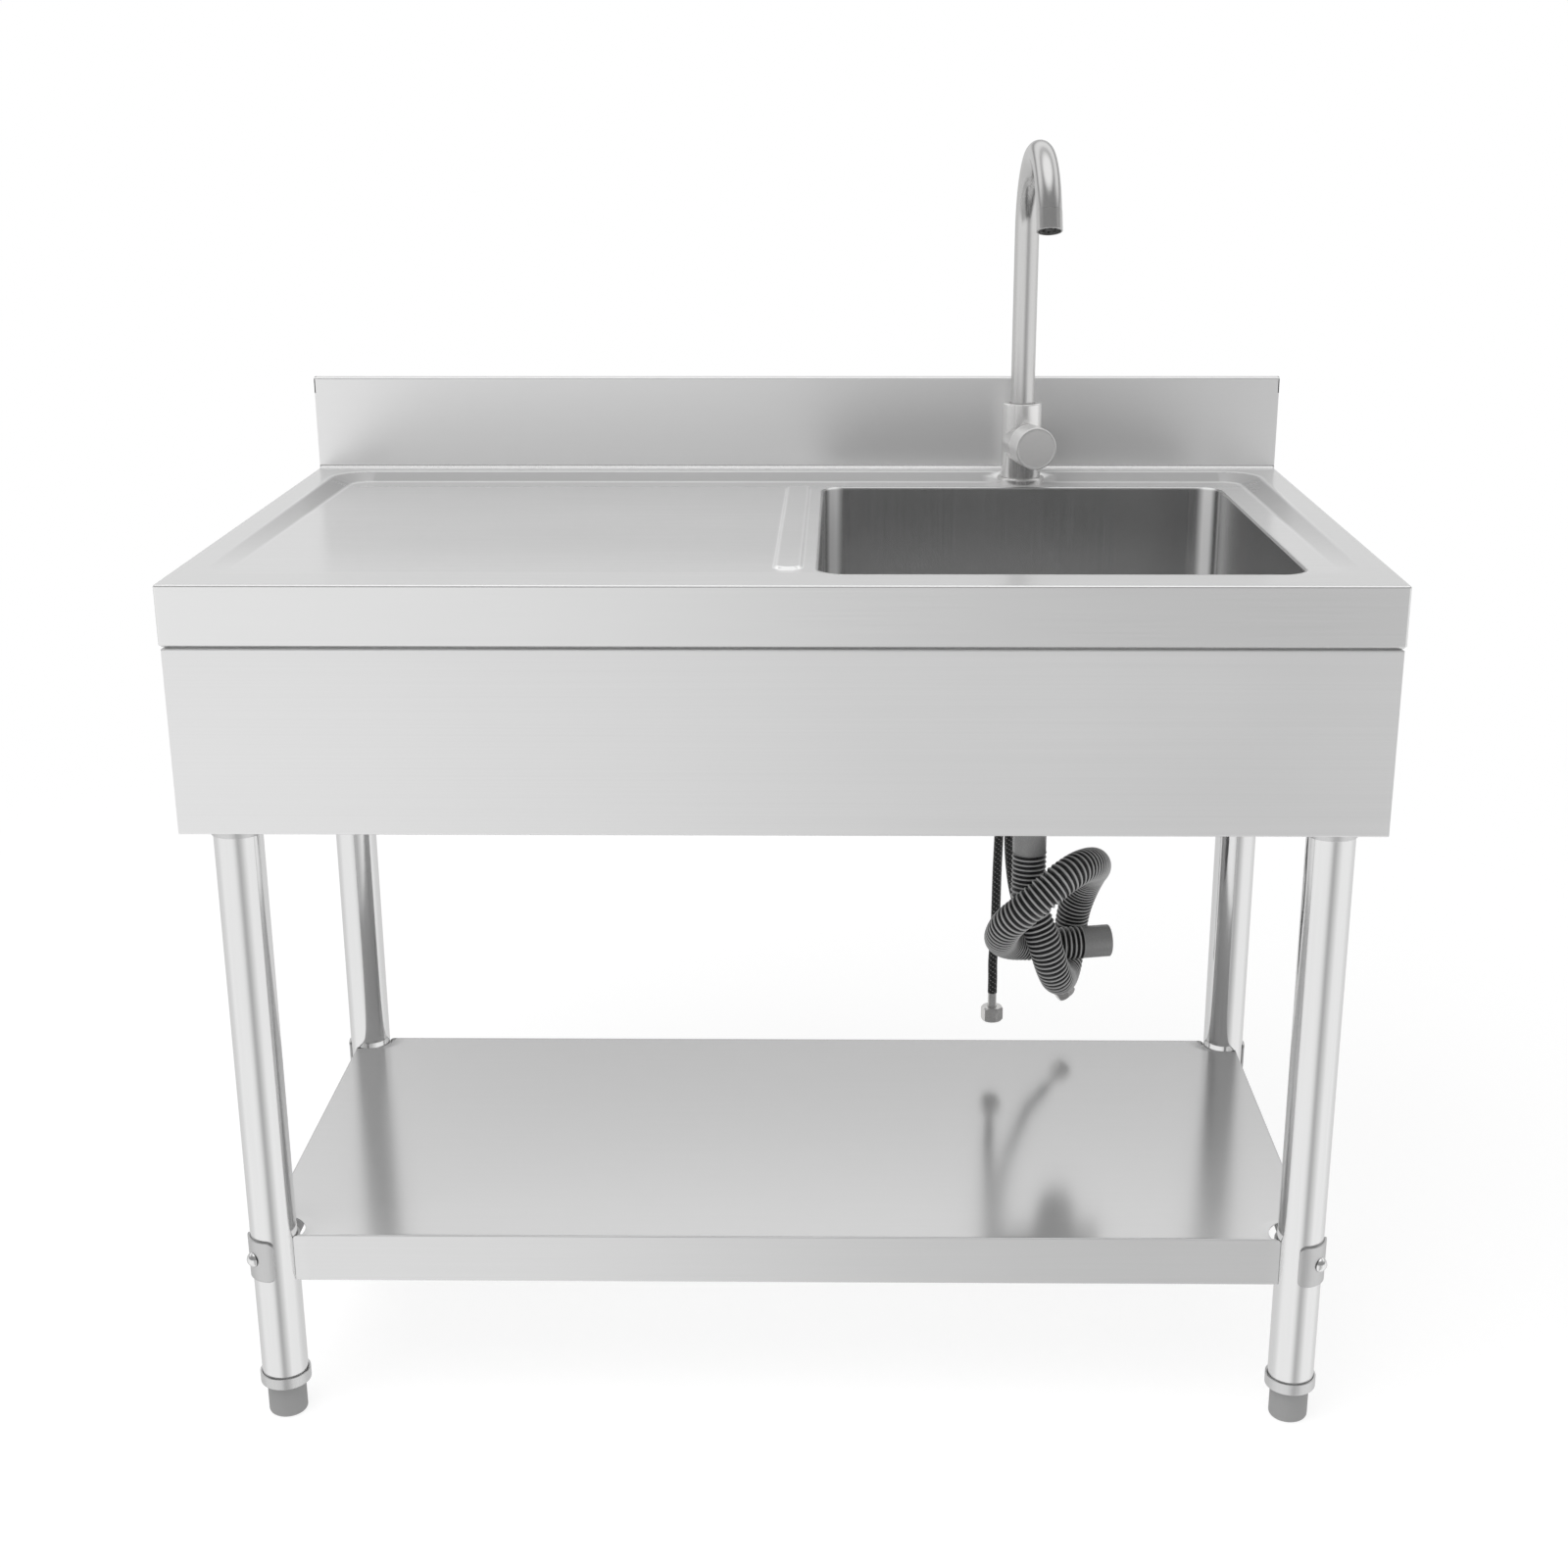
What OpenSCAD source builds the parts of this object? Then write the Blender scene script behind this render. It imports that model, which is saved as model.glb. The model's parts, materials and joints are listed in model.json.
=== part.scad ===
// Freestanding stainless steel sink. A pressed worktop with one bowl, a drainboard and a
// backsplash stands on a skirt and four round legs. A folded shelf is clamped between the
// legs. A swan-neck tap, two supply hoses and a ribbed drain hose go with it.
// The origin is on the floor under the middle of the footprint.
// +X is to the right, +Y towards the wall and +Z up. All sizes are in millimetres.

/* [Worktop] */
// Width of the worktop
top_w = 1000; // [960:5:1200]
// Depth of the worktop, from its front edge to the face of the backsplash
top_d = 600; // [590:5:680]
// Height of the worktop above the floor
top_h = 780; // [760:5:900]
// Thickness of the folded sheet steel
sheet_t = 1; // [0.8:0.1:1.2]
// Height of the rim folded down round the worktop
rim_h = 50; // [40:1:60]
// Width of the fold under the rim
rim_fold = 6; // [4:0.5:6.5]
// Height of the backsplash above the worktop
splash_h = 93; // [60:1:150]
// Depth of the fold along the top of the backsplash
splash_fold = 12; // [8:0.5:20]
// Height of the lip at the back of that fold
splash_lip = 16; // [8:1:30]

/* [Pressed area] */
// Width of the flat border round the pressed area
border_w = 23; // [20:1:30]
// Width of the sloping band inside the border
band_w = 24; // [16:1:26]
// Distance from the front edge to the pressed area
press_front = 49; // [46:1:60]
// Depth of the pressed area at the front
press_front_drop = 0.3; // [0.2:0.1:1]
// Depth of the pressed area at the back
press_back_drop = 8; // [5:0.5:12]
// Radius of the back corners of the pressed area
press_corner = 40; // [30:1:60]
// Radius of the front corners of the pressed area
press_front_corner = 30; // [20:1:40]
// Width of the raised bar between drainboard and bowl
bar_w = 25; // [18:1:30]
// Height of the raised bar
bar_h = 2; // [1:0.5:3]
// Width of the bar's sloping side
bar_slope = 3; // [2:0.5:5]
// Distance between the bar and the bowl
bar_gap = 13; // [9:1:20]

/* [Bowl] */
// Width of the bowl's opening
bowl_w = 398; // [340:2:410]
// Distance from the bowl's opening to the face of the backsplash
bowl_back = 78; // [77:1:150]
// Depth of the bowl below the worktop
bowl_depth = 185; // [150:5:200]
// Distance from the worktop's right edge to the bowl
bowl_side = 72; // [72:1:90]
// Distance from the worktop's front edge to the bowl
bowl_front = 47; // [46:1:60]
// Radius of the bowl's upright corners at the back
bowl_corner = 28; // [22:1:60]
// Radius of the bowl's upright corners at the front
bowl_front_corner = 22; // [22:1:60]
// Radius between the bowl's walls and its bottom
bowl_fillet = 18; // [10:1:20]
// Width of the bowl's flange under the worktop
bowl_flange = 7; // [5:0.5:7.5]

/* [Skirt] */
// Gap between the rim and the skirt
skirt_gap = 2.5; // [1.5:0.5:5]
// Height of the skirt
skirt_h = 157; // [120:1:180]
// Distance of the skirt's face behind the rim's face
skirt_inset = 1.5; // [1.1:0.1:3]
// Depth of the step behind the skirt's upper edge
skirt_step = 6; // [5.5:0.5:8]
// Width of the fold along the skirt's lower edge
skirt_fold = 12; // [8:0.5:12]

/* [Rails and sockets] */
// Width of the rails under the worktop
rail_w = 40; // [30:1:41]
// Height of the rails
rail_h = 45; // [30:1:60]
// Thickness of the rails and of the stiffeners
rail_t = 1.5; // [1.2:0.1:2.5]
// Width of the stiffener under the drainboard
brace_w = 50; // [40:2:80]
// Height of the stiffener under the drainboard
brace_h = 20; // [15:1:30]
// Thickness of the plate on top of each leg socket
plate_t = 3; // [2:0.5:5]
// Side of the square plate on top of each leg socket
plate_w = 60; // [54:1:60]
// Wall of each leg socket
socket_wall = 4.5; // [3:0.1:4.6]
// Wall of each socket at its lower edge
socket_edge = 1.4; // [1:0.1:2]
// Length of the tapered lower end of each socket
socket_taper = 20; // [10:1:30]
// Length of the socket that shows below the skirt
socket_show = 9.5; // [6:0.5:30]
// Diameter of the screws that hold the legs in the sockets
socket_screw_d = 8; // [6:1:8]
// Height of those screws above the skirt's lower edge
socket_screw_up = 40; // [30:1:60]

/* [Legs and feet] */
// Diameter of the legs
leg_d = 41.3; // [38:0.1:42]
// Wall of the leg tubes
leg_wall = 1.2; // [1:0.1:2]
// Distance from the worktop's side to the axis of a leg
leg_side = 40; // [40:1:60]
// Distance from the worktop's front edge to the axis of a front leg
leg_front = 40; // [40:1:60]
// Distance from the face of the backsplash to the axis of a rear leg
leg_back = 128; // [100:2:160]
// Diameter of the plastic feet
foot_d = 34.8; // [28:0.1:35]
// Length of foot that shows at rest
foot_show = 32.5; // [20:0.5:40]
// Length of foot inside the leg
foot_inside = 34; // [28:1:50]
// How far a foot screws in from where it stands
foot_up = 18; // [5:1:18]
// Rounding at the bottom of a foot
foot_round = 4; // [2:0.5:6]
// Height of the metal cup at the end of a leg
cup_h = 11; // [8:0.5:16]
// Thickness of the cup's wall
cup_wall = 1.8; // [0.6:0.1:2]
// Thickness of the cup's floor
cup_floor = 3; // [2:0.5:4]

/* [Shelf] */
// Height of the shelf's upper face
shelf_h = 184; // [150:1:260]
// Height of the shelf's folded lip
shelf_lip = 46; // [44:1:60]
// Width of the fold under the lip
shelf_fold = 12; // [8:1:20]
// How far the shelf reaches in front of the front legs' axes
shelf_front = 8.5; // [2:0.5:10]
// How far the shelf reaches behind the rear legs' axes
shelf_back = 2; // [1:0.5:6]
// How far the shelf reaches past the leg axes at the sides
shelf_side = 10; // [1:0.5:12]
// Radius of the notch round each leg in the shelf's upper face
notch_r = 28; // [24:0.5:30]
// Width of the stiffener under the shelf
shelf_brace_w = 80; // [60:5:120]
// Height of the stiffener under the shelf
shelf_brace_h = 25; // [15:1:30]

/* [Shelf clamps] */
// Height of each clamp plate
clamp_h = 39; // [36:1:42]
// Thickness of the clamp plates and brackets
clamp_t = 2; // [1.5:0.1:2.2]
// Half of the angle that a clamp plate goes round its leg
clamp_angle = 57; // [45:1:62]
// Radius of the clamp plates' corners
clamp_corner = 5; // [3:0.5:8]
// Diameter of the clamp bolts
bolt_d = 6; // [5:1:6]
// Diameter of the bolts' domed heads
bolt_head_d = 14; // [9:0.5:15]
// Height of the bolts' domed heads
bolt_head_h = 5; // [3:0.5:6]
// Width of the bolts' nuts across their flats
bolt_nut_af = 10; // [9:0.5:12]
// Height of the bolts' nuts
bolt_nut_h = 5; // [4:0.5:6]

/* [Tap] */
// Distance from the bowl's middle to the tap, to the right
tap_offset = 2.5; // [-20:0.5:20]
// Distance from the face of the backsplash to the tap's axis
tap_back = 48; // [48:0.5:50]
// Diameter of the tap's base flange
tap_flange_d = 48; // [46:1:50]
// Height of the tap's base flange
tap_flange_h = 7; // [4:0.5:8]
// Diameter of the tap's body
tap_body_d = 40; // [36:0.5:41]
// Height of the tap's body above its flange
tap_body_h = 74.5; // [74:0.5:90]
// Diameter of the tap's side control
knob_d = 42; // [38:0.5:42]
// Height of the control's axis above the flange
knob_h = 34.5; // [34:0.5:38]
// Distance from the tap's axis to the face of the control
knob_reach = 50; // [46:1:60]
// Distance from the tap's axis to the joint between body and control
knob_start = 24; // [23:0.5:28]
// Angle of the control, from the front towards the right
knob_angle = 13.5; // [0:0.5:30]
// Diameter of the spout tube
spout_d = 24; // [20:0.5:24]
// Wall of the spout tube
spout_wall = 1.2; // [0.8:0.1:2]
// Radius of the spout's bow
spout_bow = 76; // [60:1:100]
// Height of the bow's centre above the worktop
spout_rise = 241; // [180:1:300]
// Angle through which the spout bends
spout_sweep = 160; // [140:1:180]
// Angle of the spout, from the front towards the right
spout_angle = 3.2; // [-10:0.1:10]
// Length of the sleeve at the spout's mouth
sleeve_l = 19; // [16:1:30]
// Diameter of the threaded shank under the tap
shank_d = 32; // [30:0.5:33]
// Length of the threaded shank below the worktop
shank_l = 36; // [25:1:50]

/* [Waste] */
// Diameter of the strainer's flange
strainer_d = 112; // [104:2:120]
// Diameter of the strainer's cup
cup_d = 86; // [80:1:90]
// Depth of the strainer's cup
cup_depth = 48; // [36:1:60]
// Diameter of the threaded neck under the cup
neck_d = 38; // [36:0.5:40]
// Length of that neck
neck_l = 26; // [20:1:40]
// Length of the smooth cuff below that neck
top_cuff_l = 56; // [50:1:62]
// Outer diameter of the drain hose's smooth cuffs
cuff_d = 32; // [30:0.5:33]
// Wall of the cuffs
cuff_wall = 2; // [1.5:0.1:2.5]
// Length of the cuff at the hose's far end
cuff_l = 28; // [25:1:45]

/* [Hoses] */
// Outer diameter of the ribbed drain hose
hose_d = 33.2; // [31:0.1:33.6]
// Depth of the hose's ribs
rib_depth = 2.2; // [1.2:0.1:2.6]
// Distance from rib to rib
rib_pitch = 4.8; // [4.6:0.1:6]
// Wall of the hose at the bottom of its ribs
hose_wall = 1.8; // [1.4:0.1:2.4]
// Diameter of the braided supply hoses
supply_d = 9.6; // [8:0.1:10]
// Diameter of the crimped ferrules
ferrule_d = 9.2; // [8:0.1:10]
// Length of the ferrules above the nuts
ferrule_l = 15.5; // [10:0.5:20]
// Width of the supply nuts across their flats
nut_af = 20; // [19.5:0.5:24]
// Height of the supply nuts
nut_h = 15; // [13:0.5:18]
// Diameter of the supply nuts' thread
nut_bore_d = 15.2; // [14.8:0.1:16.6]

/* [Hidden] */
$fn = 96;

// Clearance between pieces of one body
fit = 0.1;
// Clearance between a moving piece and its seat
run = 0.3;
// Overshoot of a cutting shape past the face that it cuts
cut = 1;

// Worktop
front_y = -(top_d + splash_fold) / 2;
splash_y = front_y + top_d;
back_y = splash_y + splash_fold;
half_w = top_w / 2;
rim_z = top_h - rim_h;
under_z = top_h - sheet_t;

// Pressed area
press_x0 = -half_w + border_w;
press_x1 = half_w - border_w;
press_y0 = front_y + press_front;
press_y1 = splash_y - border_w;
floor_x0 = press_x0 + band_w;
floor_x1 = press_x1 - band_w;
floor_y0 = press_y0 + 6;
floor_y1 = press_y1 - band_w + 2;
floor_slope = (press_back_drop - press_front_drop) / (floor_y1 - floor_y0);
// Height of the pressed floor at a given y
function floor_z(y) = top_h - press_front_drop - floor_slope * (y - floor_y0);

// Bowl
bowl_x1 = half_w - bowl_side;
bowl_x0 = bowl_x1 - bowl_w;
bowl_y0 = front_y + bowl_front;
bowl_y1 = splash_y - bowl_back;
bowl_z = top_h - bowl_depth;
drain_x = (bowl_x0 + bowl_x1) / 2;
drain_y = (bowl_y0 + bowl_y1) / 2;
bar_x1 = bowl_x0 - bar_gap;
bar_x0 = bar_x1 - bar_w;

// Skirt
skirt_top = rim_z - skirt_gap;
skirt_z = skirt_top - skirt_h;
skirt_y0 = front_y + skirt_inset;
skirt_y1 = splash_y + sheet_t - skirt_inset;
skirt_x = half_w - skirt_inset;
stand = skirt_step + sheet_t;

// Legs
leg_r = leg_d / 2;
leg_x = half_w - leg_side;
leg_y0 = front_y + leg_front;
leg_y1 = splash_y - leg_back;
cup_z = foot_show;
leg_z = cup_z + cup_floor + run;
rail_z = top_h - press_back_drop - sheet_t - run - rail_h;
plate_z = rail_z - plate_t;
leg_top = plate_z - run;
socket_z = skirt_z - socket_show;
socket_in = leg_r + run;
socket_out = socket_in + socket_wall;
socket_screw_z = skirt_z + socket_screw_up;
plug_r = leg_r - leg_wall - fit / 2;
foot_hole = foot_d / 2 + run + fit;
plug_top = foot_show + foot_inside + foot_up + 6;

// Shelf
shelf_z = shelf_h - shelf_lip;
shelf_x = leg_x + shelf_side;
shelf_y0 = leg_y0 - shelf_front;
shelf_y1 = leg_y1 + shelf_back;
bolt_z = shelf_h - shelf_lip / 2 + 2;
clamp_in = leg_r + run;
clamp_out = clamp_in + clamp_t;
bolt_hole = bolt_d / 2 + run;

// Tap
tap_x = drain_x + tap_offset;
tap_y = splash_y - tap_back;
pad_r = tap_flange_d / 2 + 0.6;
pad_z = top_h - press_back_drop - 0.15;
tap_z = pad_z + tap_flange_h;
tap_top = tap_z + tap_body_h;
knob_z = tap_z + knob_h;
bow_z = top_h + spout_rise;
shank_r = shank_d / 2;
shank_z = pad_z - sheet_t - shank_l;
washer_t = 3;
washer_z = pad_z - sheet_t - washer_t;
locknut_h = 10;
spout_seat = knob_z + knob_d / 2 + 4;
bush_h = 9;

// Waste
sump_drop = 3;
sump_z = bowl_z - sump_drop;
flange_t = 1.2;
cup_r = cup_d / 2;
cup_z0 = sump_z - cup_depth;
neck_z = cup_z0 - neck_l;
gasket_t = 2;
ring_nut_h = 12;
cuff_r = cuff_d / 2;
cuff_bore = cuff_r - cuff_wall;
tail_nut_h = 18;

// The drain hose's route, chosen point by point from the lower end of the waste: down, round in
// a loose loop that passes in front of itself, and out to the right behind the first run
drain_z = neck_z - top_cuff_l;
drain_bends = [[0, 0, -top_cuff_l], [0, 0, -70], [0, -0.1, -84], [0, -0.5, -100], [4, -0.5, -115],
  [11, -1.5, -133], [19, -0.5, -155], [26, 5.5, -176], [33, 19.5, -193], [40, 47.5, -203],
  [46, 67.5, -196], [49, 77.5, -181], [51, 79.5, -162], [54, 76.5, -140], [60, 68.5, -116],
  [65, 53.5, -96], [66, 29.5, -81], [60, 3.5, -70], [46, -19.5, -66], [29, -33.5, -72],
  [10, -40.5, -86], [-7, -39.5, -102], [-20, -30.5, -118], [-25, -14.5, -135], [-23, 7.5, -149],
  [-13, 24.5, -159], [3, 35.5, -164], [25, 39, -166], [41.5, 41.5, -166], [58, 45, -166]];
drain_route = [for (p = drain_bends) [drain_x, drain_y, neck_z] + p];
// The supply hoses' routes, from the tap's base to their ferrules
supply_left_route = [[226, 246, tap_z], [226, 246, 745], [226, 245, 715], [225, 240, 670], [223, 229, 620],
  [221, 214, 570], [218, 197, 520], [215, 180, 470], [213, 162, 420], [211, 147, 385], [210, 137, 355],
  [209, 128, 325], [207, 121, 295], [207, 117, 277], [207, 117, 260]];
supply_right_route = [[237, 246, tap_z], [237, 246, 745], [237, 245, 715], [236, 243, 670], [234, 238, 620],
  [232, 231, 560], [229, 223, 500], [227, 215, 440], [227, 209, 399], [229, 203, 368], [234, 198, 339],
  [245, 194, 305], [254, 192, 279], [263, 192, 267], [275, 192, 251]];
left_ferrule_tilt = 0;
right_ferrule_tilt = atan(3 / 4);

STEEL = [0.79, 0.8, 0.81];
TUBE = [0.86, 0.87, 0.88];
BRUSHED = [0.68, 0.68, 0.67];
GREY = [0.5, 0.51, 0.52];
DARK = [0.2, 0.2, 0.21];
BRASS = [0.78, 0.66, 0.4];

// Where the four legs stand, and which way each one's clamp looks
LEGS = [[-leg_x, leg_y0, 225], [leg_x, leg_y0, 315], [-leg_x, leg_y1, 135], [leg_x, leg_y1, 45]];

// Points of a quarter circle about [cx, cy] that starts at the angle a
function quarter(cx, cy, r, a, n = 6) = [for (i = [0:n]) let (b = a + 90 * i / n)
  [cx + r * cos(b), cy + r * sin(b)]];

// Outline of a rectangle whose front corners have the radius rf and back corners the radius rb
function outline(x0, x1, y0, y1, rf, rb) = concat(
  quarter(x0 + rf, y0 + rf, rf, 180), quarter(x1 - rf, y0 + rf, rf, 270),
  quarter(x1 - rb, y1 - rb, rb, 0), quarter(x0 + rb, y1 - rb, rb, 90));

// An outline lifted to one height, and one laid on the pressed floor with an offset
function level(pts, z) = [for (p = pts) [p[0], p[1], z]];
function on_floor(pts, dz) = [for (p = pts) [p[0], p[1], floor_z(p[1]) + dz]];

// A closed solid through outlines that lie one above the other, lowest first
module loft(rings) {
  n = len(rings[0]);
  top = (len(rings) - 1) * n;
  pts = [for (r = rings) for (p = r) p];
  sides = [for (k = [0:len(rings) - 2]) for (i = [0:n - 1]) let (a = k * n + i, b = k * n + (i + 1) % n)
    each [[a, a + n, b + n], [a, b + n, b]]];
  polyhedron(pts, concat([[for (i = [0:n - 1]) i]], sides, [[for (i = [n - 1:-1:0]) top + i]]));
}

// Tubes and hoses

function unit(v) = v / norm(v);

// A point at t, from 0 to 1, of the smooth curve from b to c whose neighbours are a and d
function bend(a, b, c, d, t) = 0.5 * (2 * b + (c - a) * t + (2 * a - 5 * b + 4 * c - d) * t * t
  + (3 * b - a - 3 * c + d) * t * t * t);

// A route's points joined by that curve, with n short steps from each to the next
function fine_line(p, n = 8) = let (m = len(p) - 1, q = concat([2 * p[0] - p[1]], p, [2 * p[m] - p[m - 1]]))
  concat([for (i = [0:m - 1]) for (k = [0:n - 1]) bend(q[i], q[i + 1], q[i + 2], q[i + 3], k / n)], [p[m]]);

// The distance along a line to each of its points
function distances(l) = [for (i = 0, s = 0; i < len(l);
  i = i + 1, s = i < len(l) ? s + norm(l[i] - l[i - 1]) : s) s];

// Tables of x, y and z against the distance along a line, and the point at a distance
function tables(l) = let (d = distances(l)) [for (c = [0:2]) [for (i = [0:len(l) - 1]) [d[i], l[i][c]]]];
function place(t, s) = [lookup(s, t[0]), lookup(s, t[1]), lookup(s, t[2])];

// Directions at those distances, and cross directions carried along without twist
function headings(t, stops) = [for (s = stops) unit(place(t, s + 1.5) - place(t, s - 1.5))];
function square_to(v, d) = unit(v - (v * d) * d);
function sideways(h, start) = [for (i = 0, v = square_to(start, h[0]); i < len(h);
  i = i + 1, v = i < len(h) ? square_to(v, h[i]) : v) v];

// A ring of m points of radius r round c, square to d
function ring(c, d, v, r, m) = let (w = cross(d, v)) [for (k = [0:m - 1]) let (a = 360 * k / m)
  c + r * (cos(a) * v + sin(a) * w)];

// The faces of a tube wall of rings of n points, seen from outside or, turned over, from inside
function wall_faces(base, rings, n) = [for (k = [0:rings - 2]) for (i = [0:n - 1])
  let (a = base + k * n + i, b = base + k * n + (i + 1) % n) each [[a, a + n, b + n], [a, b + n, b]]];
function turned(f) = [for (t = f) [t[2], t[1], t[0]]];
function end_faces(o, i, n) = [for (k = [0:n - 1]) let (j = (k + 1) % n)
  each [[o + k, o + j, i + j], [o + k, i + j, i + k]]];

// A hollow tube through its outer and its inner rings
module pipe(outer, inner) {
  n = len(outer[0]);
  base = len(outer) * n;
  last = (len(outer) - 1) * n;
  inner_last = base + (len(inner) - 1) * n;
  polyhedron([for (r = concat(outer, inner)) for (p = r) p],
    concat(wall_faces(0, len(outer), n), turned(wall_faces(base, len(inner), n)),
      end_faces(0, base, n), turned(end_faces(last, inner_last, n))));
}

// Worktop

// A box from one corner to the other
module box(x0, x1, y0, y1, z0, z1) {
  translate([x0, y0, z0]) cube([x1 - x0, y1 - y0, z1 - z0]);
}

// The bar's outline on the pressed floor, drawn in by s
function bar_outline(s) = let (r = bar_w / 2 - s - 0.5)
  outline(bar_x0 + s, bar_x1 - s, floor_y0 + 8 + s, bowl_y1 - s, r, r);

// What the press takes away above the sheet: the sloping band, the floor and the tap's flat seat
module pressed_room(seat_r) {
  rim = outline(press_x0, press_x1, press_y0, press_y1, press_front_corner, press_corner);
  foot = outline(floor_x0, floor_x1, floor_y0, floor_y1, press_front_corner - 14, press_corner - band_w);
  difference() {
    loft([on_floor(foot, 0), level(rim, top_h), level(rim, top_h + cut)]);
    loft([on_floor(bar_outline(-bar_slope * cut / bar_h), -cut), on_floor(bar_outline(bar_slope), bar_h)]);
  }
  translate([tap_x, tap_y, pad_z]) cylinder(r = seat_r, h = top_h - pad_z + cut);
}

// The bowl's opening grown by g on all sides
function bowl_outline(g) =
  outline(bowl_x0 - g, bowl_x1 + g, bowl_y0 - g, bowl_y1 + g, bowl_front_corner + g, bowl_corner + g);

module worktop() color(STEEL) {
  splash_top = top_h + splash_h;
  deck_back = splash_y + sheet_t;
  difference() {
    union() {
      box(-half_w, half_w, front_y, deck_back, rim_z, top_h);
      box(-half_w, half_w, splash_y, deck_back, under_z, splash_top);
      box(-half_w, half_w, splash_y, back_y, splash_top - sheet_t, splash_top);
      box(-half_w, half_w, back_y - sheet_t, back_y, splash_top - splash_lip, splash_top);
      box(-half_w, -half_w + sheet_t, splash_y, back_y, splash_top - splash_lip, splash_top);
      box(half_w - sheet_t, half_w, splash_y, back_y, splash_top - splash_lip, splash_top);
    }
    pressed_room(pad_r);
    difference() {
      union() {
        box(-half_w + sheet_t, half_w - sheet_t, front_y + sheet_t, splash_y, rim_z + sheet_t, under_z);
        box(-half_w + rim_fold, half_w - rim_fold, front_y + rim_fold, deck_back - rim_fold,
          rim_z - cut, rim_z + sheet_t + cut);
      }
      translate([0, 0, -sheet_t]) pressed_room(pad_r + sheet_t);
    }
    translate([0, 0, rim_z]) linear_extrude(rim_h + cut) polygon(bowl_outline(sheet_t + fit));
    translate([tap_x, tap_y, rim_z]) cylinder(r = shank_r + run, h = rim_h);
  }
}

// The bowl's inner form grown by g, with its bottom at z
module bowl_form(g, z) {
  fillet_steps = 4;
  loft(concat(
    [for (k = [0:fillet_steps]) let (a = 90 * k / fillet_steps)
      level(bowl_outline(g - bowl_fillet * (1 - sin(a))), z + bowl_fillet * (1 - cos(a)))],
    [level(bowl_outline(g), top_h + cut)]));
}

module bowl() color(STEEL) {
  sheet = outline(-half_w, half_w, front_y, splash_y, 1, 1);
  edge = bowl_outline(sheet_t + bowl_flange);
  sump_r = strainer_d / 2 + fit;
  difference() {
    union() {
      intersection() {
        bowl_form(sheet_t, bowl_z - sheet_t);
        loft([level(sheet, bowl_z - 2 * sheet_t), on_floor(sheet, 0)]);
      }
      loft([on_floor(edge, -2 * sheet_t), on_floor(edge, -sheet_t)]);
      translate([drain_x, drain_y, sump_z - sheet_t]) cylinder(r = sump_r + sheet_t, h = sump_drop);
    }
    bowl_form(0, bowl_z);
    translate([drain_x, drain_y, sump_z]) cylinder(r = sump_r, h = sump_drop + cut);
    translate([drain_x, drain_y, sump_z - 2 * sheet_t]) cylinder(r = cup_r + run, h = sump_drop + 3 * sheet_t);
    translate([tap_x, tap_y, rim_z]) cylinder(r = pad_r + sheet_t + fit, h = rim_h);
  }
}

// Skirt

// A panel whose face is on y = 0: its face, lower fold, upper step and upright behind the rim.
// The folds stop short of the ends by trim.
module skirt_panel(w, trim) color(STEEL) {
  f = w / 2 - trim;
  box(-w / 2, w / 2, 0, sheet_t, skirt_z, skirt_top);
  box(-f, f, 0, skirt_fold, skirt_z, skirt_z + sheet_t);
  box(-f, f, 0, stand, skirt_top - sheet_t, skirt_top);
  box(-f, f, skirt_step, stand, skirt_top - sheet_t, under_z);
}

front_trim = sheet_t + fit;
side_trim = skirt_fold - sheet_t + run;
side_w = skirt_y1 - skirt_y0 - 2 * sheet_t;
side_y = (skirt_y0 + skirt_y1) / 2;

module skirt_front() {
  translate([0, skirt_y0, 0]) skirt_panel(2 * skirt_x, front_trim);
}

module skirt_rear() {
  translate([0, skirt_y1, 0]) rotate([0, 0, 180]) skirt_panel(2 * skirt_x, front_trim);
}

module skirt_left() {
  translate([-skirt_x, side_y, 0]) rotate([0, 0, -90]) skirt_panel(side_w, side_trim);
}

module skirt_right() {
  translate([skirt_x, side_y, 0]) rotate([0, 0, 90]) skirt_panel(side_w, side_trim);
}

// Rails, stiffener and leg sockets

// A channel that is open below, from one corner to the other, along x or along y
module channel(x0, x1, y0, y1, z0, z1, along_x) {
  dx = along_x ? -cut : rail_t;
  dy = along_x ? rail_t : -cut;
  difference() {
    box(x0, x1, y0, y1, z0, z1);
    box(x0 + dx, x1 - dx, y0 + dy, y1 - dy, z0 - cut, z1 - rail_t);
  }
}

module rail(x) color(STEEL) {
  channel(x - rail_w / 2, x + rail_w / 2, skirt_y0 + stand, skirt_y1 - stand, rail_z, rail_z + rail_h, false);
}

module drainboard_stiffener() color(STEEL) {
  y1 = side_y + brace_w / 2;
  z1 = floor_z(y1) - sheet_t;
  channel(-leg_x + rail_w / 2, bowl_x0 - sheet_t - bowl_flange - fit, y1 - brace_w, y1, z1 - brace_h, z1, true);
}

// Carries its children to a leg's axis, turned so that +x looks inward along the sink's depth
module at_leg(i) {
  translate([LEGS[i][0], LEGS[i][1], 0]) rotate([0, 0, LEGS[i][1] < 0 ? 90 : -90]) children();
}

module leg_socket(i) color(BRUSHED) at_leg(i) difference() {
  plate_mid = plate_z + plate_t / 2;
  union() {
    rotate_extrude() polygon([[socket_in, socket_z], [socket_in + socket_edge, socket_z],
      [socket_out, socket_z + socket_taper], [socket_out, plate_mid], [socket_in, plate_mid]]);
    translate([-plate_w / 2, -plate_w / 2, plate_z]) cube([plate_w, plate_w, plate_t]);
  }
  translate([0, 0, socket_screw_z]) rotate([0, 90, 0]) cylinder(d = socket_screw_d + fit, h = socket_out + cut);
}

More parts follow.
